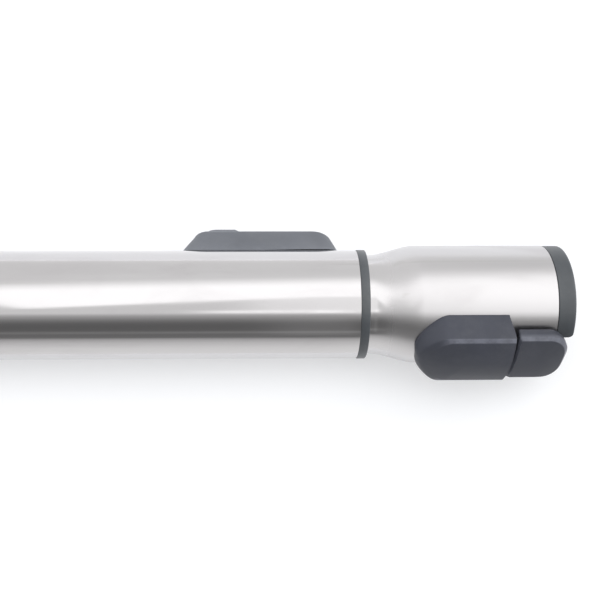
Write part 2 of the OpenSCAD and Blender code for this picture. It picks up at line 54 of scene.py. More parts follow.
millimetre = 0.001
sliderTurn = -114.5  # degrees about the wand that bring local up to the slider's side
latchTurn = 65.5  # and to the latch's side, opposite the slider
circle = 2 * math.pi

# The camera looks down on the wand's handle end. Distances are in metres, angles in degrees.
cameraSettings = {
    "along": -0.096234,
    "distance": 0.263916,
    "elevation": 73.634,
    "yaw": 1.532,
    "pitch": 0.312,
    "roll": -0.168,
    "lens": 48.757,
    "shift": 0.0288,
}


# Camera axes: back points from the wand to the camera, then the view is turned by yaw, pitch and roll.
def makeCamera(settings):
    rise = math.radians(settings["elevation"])
    yaw, pitch, roll = (math.radians(settings[k]) for k in ("yaw", "pitch", "roll"))
    back = np.array([0, -math.cos(rise), math.sin(rise)])
    right = np.array([1.0, 0, 0])
    up = np.cross(back, right)
    look = -back * math.cos(yaw) + right * math.sin(yaw)
    right = np.cross(look, up)
    look = look * math.cos(pitch) + up * math.sin(pitch)
    up = np.cross(right, look)
    side = right * math.cos(roll) + up * math.sin(roll)
    top = np.cross(side, look)
    data = bpy.data.cameras.new("photoCamera")
    data.lens = settings["lens"]
    data.sensor_width = 36
    data.shift_x = settings["shift"]
    data.clip_start, data.clip_end = 0.01, 50
    camera = bpy.data.objects.new("photoCamera", data)
    bpy.context.scene.collection.objects.link(camera)
    place = np.eye(4)
    place[:3, 0], place[:3, 1], place[:3, 2] = side, top, -look
    place[:3, 3] = [settings["along"], *(settings["distance"] * back[1:])]
    camera.matrix_world = Matrix(place.tolist())
    bpy.context.scene.camera = camera


makeCamera(cameraSettings)
print("camera placed")


def mix(a, b, t):
    return a + (b - a) * t


# 3t^2 - 2t^3 between 0 and 1, level outside
def smoothStep(t):
    t = np.clip(t, 0, 1)
    return t * t * (3 - 2 * t)


# Height of a circle of that radius above its middle, at y
def arcHeight(radius, y):
    return np.sqrt(np.maximum(radius * radius - y * y, 0))


# Turns points about the wand: y' = y cos a - z sin a, z' = y sin a + z cos a
def turnPoints(points, degrees):
    a = math.radians(degrees)
    x, y, z = np.moveaxis(np.asarray(points, float), -1, 0)
    return np.stack([x, y * math.cos(a) - z * math.sin(a), y * math.sin(a) + z * math.cos(a)], -1)


# Rounds each corner of a path: the corner moves by cut * ((1 - t)^2 toward the last point + t^2 toward the next).
def roundPath(corners, steps=4, closed=True):
    corners = np.asarray(corners, float)
    spots, cuts = corners[:, :-1], corners[:, -1:]
    before, after = np.roll(spots, 1, 0) - spots, np.roll(spots, -1, 0) - spots
    if not closed:
        before[0], after[-1] = after[0], before[-1]
        cuts = cuts.copy()
        cuts[0] = cuts[-1] = 0
    before = before / np.linalg.norm(before, axis=1, keepdims=True)
    after = after / np.linalg.norm(after, axis=1, keepdims=True)
    t = np.linspace(0, 1, steps + 1)[None, :, None]
    bend = (1 - t) ** 2 * before[:, None] + t**2 * after[:, None]
    return (spots[:, None] + cuts[:, None] * bend).reshape(-1, spots.shape[1])


# One grid of points, in millimetres, with what the mesh needs to know about it
def shell(points, closeU=False, closeV=False, keep=None, edge=0.0):
    points = np.asarray(points, float)
    edge = np.broadcast_to(np.asarray(edge, float), points.shape[:2])
    return {"points": points, "closeU": closeU, "closeV": closeV, "keep": keep, "edge": edge}


# Joins grids into one mesh: point (i, j) meets (i + 1, j), (i + 1, j + 1) and (i, j + 1) in a face.
def makePiece(name, shells, turn=0.0, sharpAngle=38.0):
    allPoints, allFaces, allEdges, start = [], [], [], 0
    for s in shells:
        nu, nv = s["points"].shape[:2]
        i, j = np.meshgrid(
            np.arange(nu if s["closeU"] else nu - 1), np.arange(nv if s["closeV"] else nv - 1), indexing="ij"
        )
        up, on = (i + 1) % nu, (j + 1) % nv
        quads = np.stack([i * nv + j, up * nv + j, up * nv + on, i * nv + on], -1)
        if s["keep"] is not None:
            quads = quads[s["keep"][i, j]]
        allPoints.append(turnPoints(s["points"], turn).reshape(-1, 3))
        allEdges.append(s["edge"].reshape(-1))
        allFaces.append(quads.reshape(-1, 4) + start)
        start += nu * nv
    points, edges, faces = np.concatenate(allPoints), np.concatenate(allEdges), np.concatenate(allFaces)
    used, faces = np.unique(faces, return_inverse=True)
    faces = faces.reshape(-1, 4)
    mesh = bpy.data.meshes.new(name)
    mesh.from_pydata((points[used] * millimetre).tolist(), [], faces.tolist())
    wearAndSheen = mesh.attributes.new("edge", "FLOAT", "POINT")
    wearAndSheen.data.foreach_set("value", edges[used].astype(np.float32))
    form = bmesh.new()
    form.from_mesh(mesh)
    bmesh.ops.remove_doubles(form, verts=form.verts, dist=2e-6)
    bmesh.ops.recalc_face_normals(form, faces=form.faces)
    form.to_mesh(mesh)
    form.free()
    mesh.shade_smooth()
    mesh.set_sharp_from_angle(angle=math.radians(sharpAngle))
    piece = bpy.data.objects.new(name, mesh)
    bpy.context.scene.collection.objects.link(piece)
    return piece


# Gives a single skin its wall, inward from the skin, and takes the bite off its rims
def addWall(piece, wall, rim, rimSteps=2, limit=60):
    solid = piece.modifiers.new("wall", "SOLIDIFY")
    solid.thickness = wall * millimetre
    solid.offset = -1
    solid.use_even_offset = True
    easeEdges(piece, rim, rimSteps, limit)


def easeEdges(piece, width, steps=2, limit=50):
    bevel = piece.modifiers.new("eased edges", "BEVEL")
    bevel.width = width * millimetre
    bevel.segments = steps
    bevel.limit_method = "ANGLE"
    bevel.angle_limit = math.radians(limit)
    shade = piece.modifiers.new("shading", "WEIGHTED_NORMAL")
    shade.keep_sharp = True


# Names what carries a piece, which finish it has and which CAD nodes it stands for
def dress(piece, body, slotName, material, *nodes):
    piece.data.materials.clear()
    piece.data.materials.append(material)
    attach(piece, body)
    if nodes:
        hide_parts(*nodes)
    return piece


# Shader tools


def feed(tree, socket, value):
    if isinstance(value, bpy.types.NodeSocket):
        tree.links.new(value, socket)
    else:
        socket.default_value = value


# Adds a node, sets its properties and fills its inputs with numbers or other nodes' outputs
def addNode(tree, kind, inputs=None, **settings):
    made = tree.nodes.new(kind)
    for key, value in settings.items():
        setattr(made, key, value)
    for key, value in (inputs or {}).items():
        feed(tree, made.inputs[key], value)
    return made


def calc(tree, operation, a, b=0.0, clamp=False, c=0.0):
    return addNode(tree, "ShaderNodeMath", {0: a, 1: b, 2: c}, operation=operation, use_clamp=clamp).outputs[0]


# Maps low..high to start..end
def remap(tree, value, low, high, start=0.0, end=1.0, smooth=False):
    made = addNode(
        tree,
        "ShaderNodeMapRange",
        {"Value": value, "From Min": low, "From Max": high, "To Min": start, "To Max": end},
        interpolation_type="SMOOTHSTEP" if smooth else "LINEAR",
    )
    return made.outputs["Result"]


def mixValue(tree, factor, a, b):
    made = addNode(tree, "ShaderNodeMix", data_type="FLOAT")
    feed(tree, made.inputs[0], factor)
    feed(tree, made.inputs[2], a)
    feed(tree, made.inputs[3], b)
    return made.outputs[0]


def blendColour(tree, factor, a, b):
    made = addNode(tree, "ShaderNodeMix", data_type="RGBA")
    feed(tree, made.inputs[0], factor)
    feed(tree, made.inputs[6], a)
    feed(tree, made.inputs[7], b)
    return made.outputs[2]


def noise(tree, place, scale, detail=2.0, rough=0.5, distortion=0.0):
    made = addNode(
        tree,
        "ShaderNodeTexNoise",
        {"Vector": place, "Scale": scale, "Detail": detail, "Roughness": rough, "Distortion": distortion},
    )
    return made.outputs["Fac"]


def stretchPlace(tree, place, scale):
    return addNode(tree, "ShaderNodeMapping", {"Vector": place, "Scale": scale}).outputs["Vector"]


def newGroup(name, inputs, outputs):
    group = bpy.data.node_groups.new(name, "ShaderNodeTree")
    for label, kind, value in inputs:
        socket = group.interface.new_socket(label, in_out="INPUT", socket_type=kind)
        if value is not None:
            socket.default_value = value
    for label, kind in outputs:
        group.interface.new_socket(label, in_out="OUTPUT", socket_type=kind)
    return group, group.nodes.new("NodeGroupInput").outputs, group.nodes.new("NodeGroupOutput").inputs


# Fine satin grain of moulded plastic: two noises summed into a height, and a slow drift of tone
def makeSatinGrain():
    group, given, result = newGroup(
        "satinGrain",
        [("Position", "NodeSocketVector", None), ("Scale", "NodeSocketFloat", 2600.0)],
        [("Height", "NodeSocketFloat"), ("Drift", "NodeSocketFloat")],
    )
    fine = noise(group, given["Position"], given["Scale"], 3.0, 0.6)
    coarse = noise(group, given["Position"], calc(group, "MULTIPLY", given["Scale"], 0.22), 2.0, 0.5)
    group.links.new(calc(group, "ADD", calc(group, "MULTIPLY", fine, 0.7), calc(group, "MULTIPLY", coarse, 0.3)), result["Height"])
    group.links.new(noise(group, given["Position"], 55.0, 3.0, 0.55), result["Drift"])
    return group


# Wear along the edges that a piece marks in its edge attribute, broken up by noise. Where a piece marks its bevels
# strongly, as the latch does, the same mask paints a highlight there.
def makeEdgeWearAndSheen():
    group, given, result = newGroup(
        "edgeWearAndSheen",
        [("Position", "NodeSocketVector", None), ("Amount", "NodeSocketFloat", 0.5)],
        [("Mask", "NodeSocketFloat")],
    )
    marked = addNode(group, "ShaderNodeAttribute", attribute_name="edge").outputs["Fac"]
    broken = remap(group, noise(group, given["Position"], 420.0, 4.0, 0.6), 0.35, 0.6, 0.6, 1.0)
    group.links.new(calc(group, "MULTIPLY", calc(group, "MULTIPLY", marked, broken), given["Amount"], True), result["Mask"])
    return group


# Settled dust: a thin, patchy film on what faces up
def makeDustFilm():
    group, given, result = newGroup(
        "dustFilm",
        [("Position", "NodeSocketVector", None), ("Amount", "NodeSocketFloat", 0.1)],
        [("Mask", "NodeSocketFloat")],
    )
    normal = addNode(group, "ShaderNodeNewGeometry").outputs["Normal"]
    upward = remap(group, addNode(group, "ShaderNodeSeparateXYZ", {0: normal}).outputs["Z"], 0.1, 0.9)
    film = remap(group, noise(group, given["Position"], 90.0, 4.0, 0.6), 0.4, 0.75)
    fine = remap(group, noise(group, given["Position"], 900.0, 3.0, 0.6), 0.35, 0.65, 0.5, 1.0)
    film = calc(group, "MULTIPLY", film, fine)
    group.links.new(calc(group, "MULTIPLY", calc(group, "MULTIPLY", film, upward), given["Amount"]), result["Mask"])
    return group


# Drawn steel: grain and fine rub lines along the tube, and soft smudges from handling
def makeDrawnSteel():
    group, given, result = newGroup(
        "drawnSteel",
        [("Position", "NodeSocketVector", None), ("Grain", "NodeSocketFloat", 900.0)],
        [("Height", "NodeSocketFloat"), ("Smudge", "NodeSocketFloat"), ("Line", "NodeSocketFloat")],
    )
    lengthwise = addNode(group, "ShaderNodeCombineXYZ", {"X": 3.0, "Y": given["Grain"], "Z": given["Grain"]}).outputs[0]
    streak = noise(group, stretchPlace(group, given["Position"], lengthwise), 1.0, 3.0, 0.65)
    lines = noise(group, stretchPlace(group, given["Position"], (9.0, 380.0, 380.0)), 1.0, 1.0, 0.5)
    waves = noise(group, stretchPlace(group, given["Position"], (14.0, 60.0, 60.0)), 1.0, 2.0, 0.5)
    height = calc(group, "ADD", calc(group, "MULTIPLY", streak, 0.16), calc(group, "MULTIPLY", waves, 0.84))
    group.links.new(height, result["Height"])
    group.links.new(noise(group, stretchPlace(group, given["Position"], (22.0, 60.0, 60.0)), 1.0, 4.0, 0.62, 0.6), result["Smudge"])
    group.links.new(remap(group, lines, 0.66, 0.72), result["Line"])
    return group


satinGrain, edgeWearAndSheen, dustFilm, drawnSteel = makeSatinGrain(), makeEdgeWearAndSheen(), makeDustFilm(), makeDrawnSteel()


def startMaterial(name, **fixed):
    material = bpy.data.materials.new(name)
    material.use_nodes = True
    tree = material.node_tree
    shader = tree.nodes["Principled BSDF"]
    for label, value in fixed.items():
        shader.inputs[label.replace("_", " ")].default_value = value
    return material, tree, shader, addNode(tree, "ShaderNodeTexCoord").outputs["Object"]


def addGroup(tree, group, place, **values):
    made = addNode(tree, "ShaderNodeGroup", node_tree=group)
    tree.links.new(place, made.inputs["Position"])
    for label, value in values.items():
        made.inputs[label].default_value = value
    return made.outputs


def addBump(tree, shader, height, distance, strength=1.0):
    bump = addNode(tree, "ShaderNodeBump", {"Height": height, "Strength": strength, "Distance": distance})
    tree.links.new(bump.outputs["Normal"], shader.inputs["Normal"])


# Moulded plastic: the tone drifts slowly, marked edges are painted pale and smoother, partly as rubbed wear and, on the
# latch's bevels, partly as a painted highlight; dust lies on top
def makePlastic(name, colour, rough=0.45, wearAndSheen=0.4, dust=0.06, grain=2600.0, bump=0.00002, gloss=0.5):
    material, tree, shader, place = startMaterial(name, IOR=1.5, Specular_IOR_Level=gloss)
    satin = addGroup(tree, satinGrain, place, Scale=grain)
    rubbedAndSheen = addGroup(tree, edgeWearAndSheen, place, Amount=wearAndSheen)["Mask"]
    settled = addGroup(tree, dustFilm, place, Amount=dust)["Mask"]
    dark = tuple(c * 0.9 for c in colour) + (1,)
    light = tuple(c * 1.12 for c in colour) + (1,)
    # pale edge colour: rubbed wear, and on the latch's bevels a painted highlight
    paleWearAndSheen = tuple(min(c * 2.1 + 0.05, 1) for c in colour) + (1,)
    tone = blendColour(tree, remap(tree, satin["Drift"], 0.3, 0.7), dark, light)
    tone = blendColour(tree, rubbedAndSheen, tone, paleWearAndSheen)
    tone = blendColour(tree, settled, tone, (0.5, 0.5, 0.48, 1))
    tree.links.new(tone, shader.inputs["Base Color"])
    smooth = remap(tree, satin["Drift"], 0.25, 0.75, rough - 0.05, rough + 0.07)
    tree.links.new(calc(tree, "SUBTRACT", smooth, calc(tree, "MULTIPLY", rubbedAndSheen, 0.15)), shader.inputs["Roughness"])
    addBump(tree, shader, satin["Height"], bump)
    return material


# Polished tube: faint grain and rub lines along it, smudges that dull it in patches. The pressed flare and socket,
# from x = -64 mm on, are duller.
def makeTubeSteel(name, rough=0.1, socketRough=0.19, bump=0.00003):
    material, tree, shader, place = startMaterial(name, Metallic=1.0)
    drawn = addGroup(tree, drawnSteel, place)
    settled = addGroup(tree, dustFilm, place, Amount=0.06)["Mask"]
    smudge = remap(tree, drawn["Smudge"], 0.42, 0.72, smooth=True)
    tone = blendColour(tree, smudge, (0.63, 0.618, 0.624, 1), (0.595, 0.58, 0.587, 1))
    tone = blendColour(tree, calc(tree, "MULTIPLY", drawn["Line"], 0.35), tone, (0.54, 0.53, 0.52, 1))
    tone = blendColour(tree, settled, tone, (0.55, 0.54, 0.52, 1))
    tree.links.new(tone, shader.inputs["Base Color"])
    dull = calc(tree, "ADD", calc(tree, "MULTIPLY", smudge, 0.07), calc(tree, "MULTIPLY", drawn["Line"], 0.08))
    along = addNode(tree, "ShaderNodeSeparateXYZ", {0: place}).outputs["X"]
    pressed = remap(tree, along, -0.064, -0.054, 0.0, socketRough, smooth=True)
    dull = calc(tree, "ADD", dull, pressed)
    tree.links.new(calc(tree, "ADD", dull, rough), shader.inputs["Roughness"])
    addBump(tree, shader, drawn["Height"], bump)
    return material


# Small steel parts: fine turning marks and a little oil film
def makeSmallSteel(name, colour, rough):
    material, tree, shader, place = startMaterial(name, Metallic=1.0)
    marks = noise(tree, stretchPlace(tree, place, (2500.0, 900.0, 900.0)), 1.0, 3.0, 0.6)
    film = noise(tree, place, 240.0, 3.0, 0.6)
    dark = tuple(c * 0.82 for c in colour) + (1,)
    tree.links.new(blendColour(tree, remap(tree, film, 0.4, 0.75), colour + (1,), dark), shader.inputs["Base Color"])
    tree.links.new(remap(tree, film, 0.3, 0.7, rough - 0.04, rough + 0.1), shader.inputs["Roughness"])
    addBump(tree, shader, marks, 0.00001)
    return material


# Soft rubber: dull, with a fine pebble and a pale bloom
def makeRubber(name):
    material, tree, shader, place = startMaterial(name, IOR=1.5)
    satin = addGroup(tree, satinGrain, place, Scale=3800.0)
    bloom = remap(tree, satin["Drift"], 0.45, 0.7)
    tree.links.new(blendColour(tree, bloom, (0.025, 0.025, 0.027, 1), (0.05, 0.05, 0.052, 1)), shader.inputs["Base Color"])
    tree.links.new(remap(tree, satin["Drift"], 0.3, 0.7, 0.62, 0.8), shader.inputs["Roughness"])
    addBump(tree, shader, satin["Height"], 0.00003)
    return material


finishes = {
    "tubeSteel": makeTubeSteel("tubeSteel"),
    "collarPlastic": makePlastic("collarPlastic", (0.062, 0.069, 0.077), rough=0.36, wearAndSheen=0.4),
    "innerPlastic": makePlastic("innerPlastic", (0.12, 0.128, 0.14), rough=0.5, wearAndSheen=0.0, dust=0.0),
    # the latch's full edge mark paints its bevels pale: partly wear, partly a painted highlight
    "latchPlastic": makePlastic("latchPlastic", (0.054, 0.058, 0.075), rough=0.45, wearAndSheen=1.0, gloss=0.3),
    "sliderPlastic": makePlastic("sliderPlastic", (0.125, 0.134, 0.154), rough=0.5, wearAndSheen=0.3),
    "whitePlastic": makePlastic("whitePlastic", (0.72, 0.72, 0.7), rough=0.4, wearAndSheen=0.0, dust=0.0),
    "sealRubber": makeRubber("sealRubber"),
    "brightSteel": makeSmallSteel("brightSteel", (0.8, 0.8, 0.81), 0.2),
    "springSteel": makeSmallSteel("springSteel", (0.6, 0.6, 0.61), 0.3),
}
print("materials made")


# A round hole in a wall of grid lines: within a square patch, lines are drawn from the square to a circle
# by w = (d - 1/2) / (1/2), where d is the larger of the two distances from the middle, 1 at the patch's rim.
def drillHole(x, angle, radius, hole):
    u, v = (x - hole["at"]) / hole["reach"], angle / hole["spread"]
    far = np.maximum(abs(u), abs(v))
    ring = 2 * far * hole["radius"] / (np.hypot(u, v) + 1e-9)
    w = np.clip(2 * far - 1, 0, 1)
    newX = hole["at"] + mix(ring * u, u * hole["reach"], w)
    newY = mix(ring * v, radius * np.sin(angle), w)
    inside = far < 1
    newAngle = np.arcsin(np.clip(newY / radius, -1, 1))
    return np.where(inside, newX, x), np.where(inside, newAngle, angle)


# Brings an angle to between minus half a turn and half a turn
def wrapAngle(angle):
    return (angle + math.pi) % circle - math.pi


# Value of a grid at the middle of each face, with the columns closing on themselves
def faceMean(grid):
    down = np.roll(grid, -1, 0)
    return (grid + down + np.roll(grid, -1, 1) + np.roll(down, -1, 1)) / 4


# Lower tube
outerTube = {
    "radius": 17.5,
    "wall": 0.6,
    "front": -65.6,
    "rear": -621.6,
    "around": 192,
    "bead": (-573.6, -570.6),
    "beadHeight": 0.5,
    "window": (-105.0, -85.8),
    "windowColumns": 12,
    "rim": 0.12,
    "hole": {"at": -601.6, "radius": 4.0, "reach": 8.0, "spread": 14 * circle / 192},
}


# Tube of the lower section, in the latch's frame: r = radius + height (1 - cos) / 2 over the bead, at angle t
# y = r sin t and z = r cos t. A round hole faces the latch's side and a window lies under the slider.
def makeOuterTube(s):
    x = np.unique(
        np.round(
            np.concatenate(
                [
                    np.linspace(s["front"], s["window"][1], 5),
                    np.linspace(*s["window"], 5),
                    np.linspace(s["window"][0], s["bead"][1], 26),
                    np.linspace(*s["bead"], 15),
                    np.linspace(s["bead"][0], s["hole"]["at"] + s["hole"]["reach"], 5),
                    s["hole"]["at"] + np.linspace(-1, 1, 29) * s["hole"]["reach"],
                    np.linspace(s["hole"]["at"] - s["hole"]["reach"], s["rear"], 5),
                ]
            ),
            6,
        )
    )[::-1]
    angle = np.arange(s["around"]) * circle / s["around"]
    x, angle = np.meshgrid(x, angle, indexing="ij")
    along = np.clip((x - s["bead"][0]) / (s["bead"][1] - s["bead"][0]), 0, 1)
    radius = s["radius"] + s["beadHeight"] * (1 - np.cos(circle * along)) / 2
    newX, newAngle = drillHole(x, wrapAngle(angle), radius, s["hole"])
    u = faceMean(x)
    v = wrapAngle(angle + math.pi / s["around"])
    patch = np.maximum(abs(u - s["hole"]["at"]) / s["hole"]["reach"], abs(v) / s["hole"]["spread"])
    behind = abs(wrapAngle(v + math.pi)) < s["windowColumns"] * circle / s["around"]
    window = behind & (u > s["window"][0]) & (u < s["window"][1])
    points = np.stack([newX, radius * np.sin(newAngle), radius * np.cos(newAngle)], -1)
    piece = makePiece("lowerTube", [shell(points, closeV=True, keep=(patch > 0.5) & ~window)], latchTurn)
    addWall(piece, s["wall"], s["rim"])
    return dress(piece, "lower_section", "tube_steel", finishes["tubeSteel"], "outer_tube")


makeOuterTube(outerTube)

# Upper tube
innerTube = {
    "radius": 16.0,
    "socketRadius": 19.0,
    "wall": 0.6,
    "rim": 0.12,
    "front": -5.6,
    "flareFront": -46.5,
    "flareRear": -61.5,
    "rear": -537.0,
    "around": 96,
    "channelHalf": 4.4,
    "channelSoft": 0.7,
    "floor": 14.2,
    "runOut": (-63.4, -62.5),
    "dentFrom": -497.0,
    "dentTo": -80.0,
    "dentPitch": 18.0,
    "dentLength": 5.0,
    "dentHalf": 3.5,
    "dentDepth": 0.3,
    "hole": {"at": -35.0, "radius": 3.2, "reach": 6.5, "spread": 0.0},
}


# Tube of the upper section, in the slider's frame: a circle whose radius swells by 3t^2 - 2t^3 over the flare.
# Facing the slider, the wall sinks to a flat floor with soft shoulders, and the floor has cosine dents.
def makeInnerTube(s):
    dents = np.arange(s["dentFrom"], s["dentTo"], s["dentPitch"])
    near = np.array([-1, -0.68, -0.34, 0, 0.34, 0.68, 1]) * s["dentLength"] / 2
    x = np.unique(
        np.round(
            np.concatenate(
                [
                    np.linspace(s["front"], s["hole"]["at"] + s["hole"]["reach"], 6),
                    s["hole"]["at"] + np.linspace(-1, 1, 13) * s["hole"]["reach"],
                    np.linspace(s["hole"]["at"] - s["hole"]["reach"], s["flareFront"], 4),
                    np.linspace(s["flareFront"], s["flareRear"], 27),
                    np.linspace(*s["runOut"], 7),
                    (dents[:, None] + near).ravel(),
                    dents + s["dentPitch"] / 2,
                    np.linspace(s["dentFrom"] - 6, s["rear"], 5),
                ]
            ),
            6,
        )
    )[::-1]
    edges = np.array([0.6, 1.3, 2.0, 2.6, 3.0, 3.3, 3.6, 3.8, 4.0, 4.1, 4.2, 4.3, 4.4, 4.5, 4.6, 4.7, 4.8, 5.0, 5.4])
    near = np.arcsin(np.concatenate([-edges[::-1], [0], edges]) / s["radius"])
    step = (circle - 2 * near[-1] - 0.06) / s["around"]
    rest = near[-1] + 0.03 + step * np.arange(s["around"] + 1)
    angle = np.concatenate([near, rest])
    s["hole"]["spread"] = 6 * step
    x, angle = np.meshgrid(x, angle, indexing="ij")
    t = np.clip((x - s["flareRear"]) / (s["flareFront"] - s["flareRear"]), 0, 1)
    radius = mix(s["radius"], s["socketRadius"], smoothStep(t))
    newX, newAngle = drillHole(x, wrapAngle(angle - math.pi), radius, s["hole"])
    y = -radius * np.sin(newAngle)
    z = -radius * np.cos(newAngle)
    inChannel = 1 - smoothStep((abs(y) - s["channelHalf"] + s["channelSoft"] / 2) / s["channelSoft"])
    inChannel = np.where(z > 0, inChannel, 0) * (1 - smoothStep((x - s["runOut"][0]) / (s["runOut"][1] - s["runOut"][0])))
    nearest = dents[np.argmin(abs(x[..., None] - dents), -1)]
    dent = (1 + np.cos(np.clip((x - nearest) / s["dentLength"], -0.5, 0.5) * circle)) / 2
    floor = s["floor"] - s["dentDepth"] * dent * smoothStep((s["dentHalf"] + 0.2 - abs(y)) / 0.8)
    z = mix(z, floor, inChannel)
    u = faceMean(x)
    v = wrapAngle(angle + (np.roll(angle, -1, 1) - angle) % circle / 2 - math.pi)
    patch = np.maximum(abs(u - s["hole"]["at"]) / s["hole"]["reach"], abs(v) / s["hole"]["spread"])
    piece = makePiece("upperTube", [shell(np.stack([newX, y, z], -1), closeV=True, keep=patch > 0.5)], sliderTurn, 50)
    addWall(piece, s["wall"], s["rim"])
    return dress(piece, "upper_section", "tube_steel", finishes["tubeSteel"], "inner_tube")


makeInnerTube(innerTube)
print("tubes made")


# Carries a profile of (x, r) round the wand's axis: y = r sin t, z = r cos t
def revolve(profile, angles):
    x, r = np.asarray(profile, float).T[:, :, None]
    return np.stack([x + 0 * angles, r * np.sin(angles), r * np.cos(angles)], -1)


fullTurn = np.arange(96) * circle / 96

# Guide sleeve between the tubes
guideSleeve = {
    "front": -62.8,
    "back": -65.6,
    "outer": 17.65,
    "inner": 16.1,
    "sleeve": 16.85,
    "rear": -135.6,
    "wall": 0.75,
    "grooveFront": -63.4,
    "grooveBack": -65.1,
    "grooveRadius": 16.75,
    "window": (-105.0, -85.8),
    "keyHalf": 4.3,
    "keyLow": 14.35,
    "keyHigh": 16.4,
}


# Collar: a rounded ring section with the seal's groove, carried round. Sleeve: a plain cylinder with the window
# left out, given its wall outside in. Keys: bars that run in the channel.
def makeGuideSleeve(s):
    section = roundPath(
        [
            (s["front"], s["inner"], 0.12),
            (s["front"], s["outer"], 0.32),
            (s["back"], s["outer"], 0.4),
            (s["back"], s["inner"], 0.0),
            (s["grooveBack"], s["inner"], 0.05),
            (s["grooveBack"], s["grooveRadius"], 0.0),
            (s["grooveFront"], s["grooveRadius"], 0.0),
            (s["grooveFront"], s["inner"], 0.05),
        ]
    )
    worn = np.exp(-(((section[:, :1] - s["front"]) / 0.35) ** 2)) * (section[:, 1:] > s["outer"] - 0.4)
    collar = makePiece("guideCollar", [shell(revolve(section, fullTurn), True, True, edge=worn)])
    dress(collar, "lower_section", "collar_plastic", finishes["collarPlastic"], "guide_sleeve")
    x = np.concatenate([np.linspace(s["back"] + 0.3, s["window"][1], 4), np.linspace(s["window"][0], s["rear"], 4)])
    angle = fullTurn[None, :] + 0 * x[:, None]
    points = np.stack([x[:, None] + 0 * angle, s["sleeve"] * np.sin(angle), s["sleeve"] * np.cos(angle)], -1)
    middle = faceMean(points[..., 0])
    facing = abs(wrapAngle(angle + circle / 192)) < 6 * circle / 96
    keep = ~(facing & (middle < s["window"][1]) & (middle > s["window"][0]))
    shells = [shell(points, closeV=True, keep=keep)]
    sleeve = makePiece("guideSleeve", shells, sliderTurn)
    addWall(sleeve, s["wall"], 0.1)
    dress(sleeve, "lower_section", "collar_plastic", finishes["collarPlastic"], "guide_sleeve")
    bars = [
        makeSlab(-135.1, s["window"][0], s["keyHalf"], 0.3, s["keyLow"], s["keyHigh"]),
        makeSlab(s["window"][1], -66.1, s["keyHalf"], 0.3, s["keyLow"], s["keyHigh"]),
    ]
    keys = makePiece("guideKeys", bars, sliderTurn)
    dress(keys, "lower_section", "collar_plastic", finishes["collarPlastic"], "guide_sleeve")


# Samples round a rounded rectangle, from the right end of its near side clockwise: corner signs in x and y,
# and the direction within the corner's arc, sharpened or flattened by an exponent.
def outlineSamples(along, across, corner, bend=1.0, openRight=False):
    a = np.linspace(0, math.pi / 2, corner + 1)
    side, rise = np.sin(a) ** bend, np.cos(a) ** bend
    cross = np.linspace(-1, 1, across + 1)[1:-1]
    ends = ([1], [-1]) if openRight else ([], [])
    near = np.concatenate([ends[0], -along])
    far = np.concatenate([along, ends[0]])
    parts = [
        (near, -1 + 0 * near, 0 * near, -1 + 0 * near),
        (-1 + 0 * a, -1 + 0 * a, -side, -rise),
        (-1 + 0 * cross, cross, -1 + 0 * cross, 0 * cross),
        (-1 + 0 * a, 1 + 0 * a, -rise, side),
        (far, 1 + 0 * far, 0 * far, 1 + 0 * far),
    ]
    if not openRight:
        parts += [
            (1 + 0 * a, 1 + 0 * a, side, rise),
            (1 + 0 * cross, -cross, 1 + 0 * cross, 0 * cross),
            (1 + 0 * a, -1 + 0 * a, rise, -side),
        ]
    return np.concatenate([np.array(p, float) for p in parts], 1)


# Places outline samples: x runs between the corner centres plus the arc, y the same across.
# Every size may be a column of levels, so the result is a grid of level by sample.
def placeOutline(samples, x0, x1, half, leftX, leftY, rightX=None, rightY=None):
    signX, signY, arcX, arcY = samples[:, None, :]
    x0, x1, half, leftX, leftY = (np.reshape(v, (-1, 1)) for v in (x0, x1, half, leftX, leftY))
    rightX = leftX if rightX is None else np.reshape(rightX, (-1, 1))
    rightY = leftY if rightY is None else np.reshape(rightY, (-1, 1))
    cornerX = np.where(signX < 0, leftX, rightX)
    cornerY = np.where(signX < 0, leftY, rightY)
    x = mix(x0 + leftX, x1 - rightX, (signX + 1) / 2) + cornerX * arcX
    y = signY * (half - cornerY) + cornerY * arcY
    return x, y


# A plain rounded bar between two heights, closed at both ends along its middle line
def makeSlab(x0, x1, half, corner, low, high, edge=0.15):
    samples = outlineSamples(np.linspace(-1, 1, 4)[1:-1], 3, 4)
    inset = np.array([edge, 0, 0, edge])
    x, y = placeOutline(samples, x0 + inset, x1 - inset, half - inset, corner - inset * 0.9, corner - inset * 0.9)
    z = np.array([low, low + edge, high - edge, high])[:, None] + 0 * x
    middle = np.clip(x, x0 + half * 0.5, x1 - half * 0.5)
    x = np.concatenate([middle[:1], x, middle[-1:]])
    y = np.concatenate([0 * y[:1], y, 0 * y[-1:]])
    z = np.concatenate([z[:1], z, z[-1:]])
    return shell(np.stack([x, y, z], -1), closeV=True)


makeGuideSleeve(guideSleeve)

# Lining of the socket, and its collar at the mouth
socketLiner = {
    "bore": 17.6,
    "wall": 0.75,
    "rear": -46.5,
    "front": -4.9,
    "relief": (-41.0, -29.0),
    "reliefDepth": 0.3,
    "collarBack": -5.3,
    "collarOuter": 18.9,
    "notchHalf": 5.0,
    "endRound": 1.6,
    "hole": {"at": -35.0, "radius": 3.2, "reach": 5.6, "spread": 8 * circle / 144},
    "hooks": ((-43.0, -38.2), (-26.5, -21.7)),
    "hookColumns": (9, 11),
}


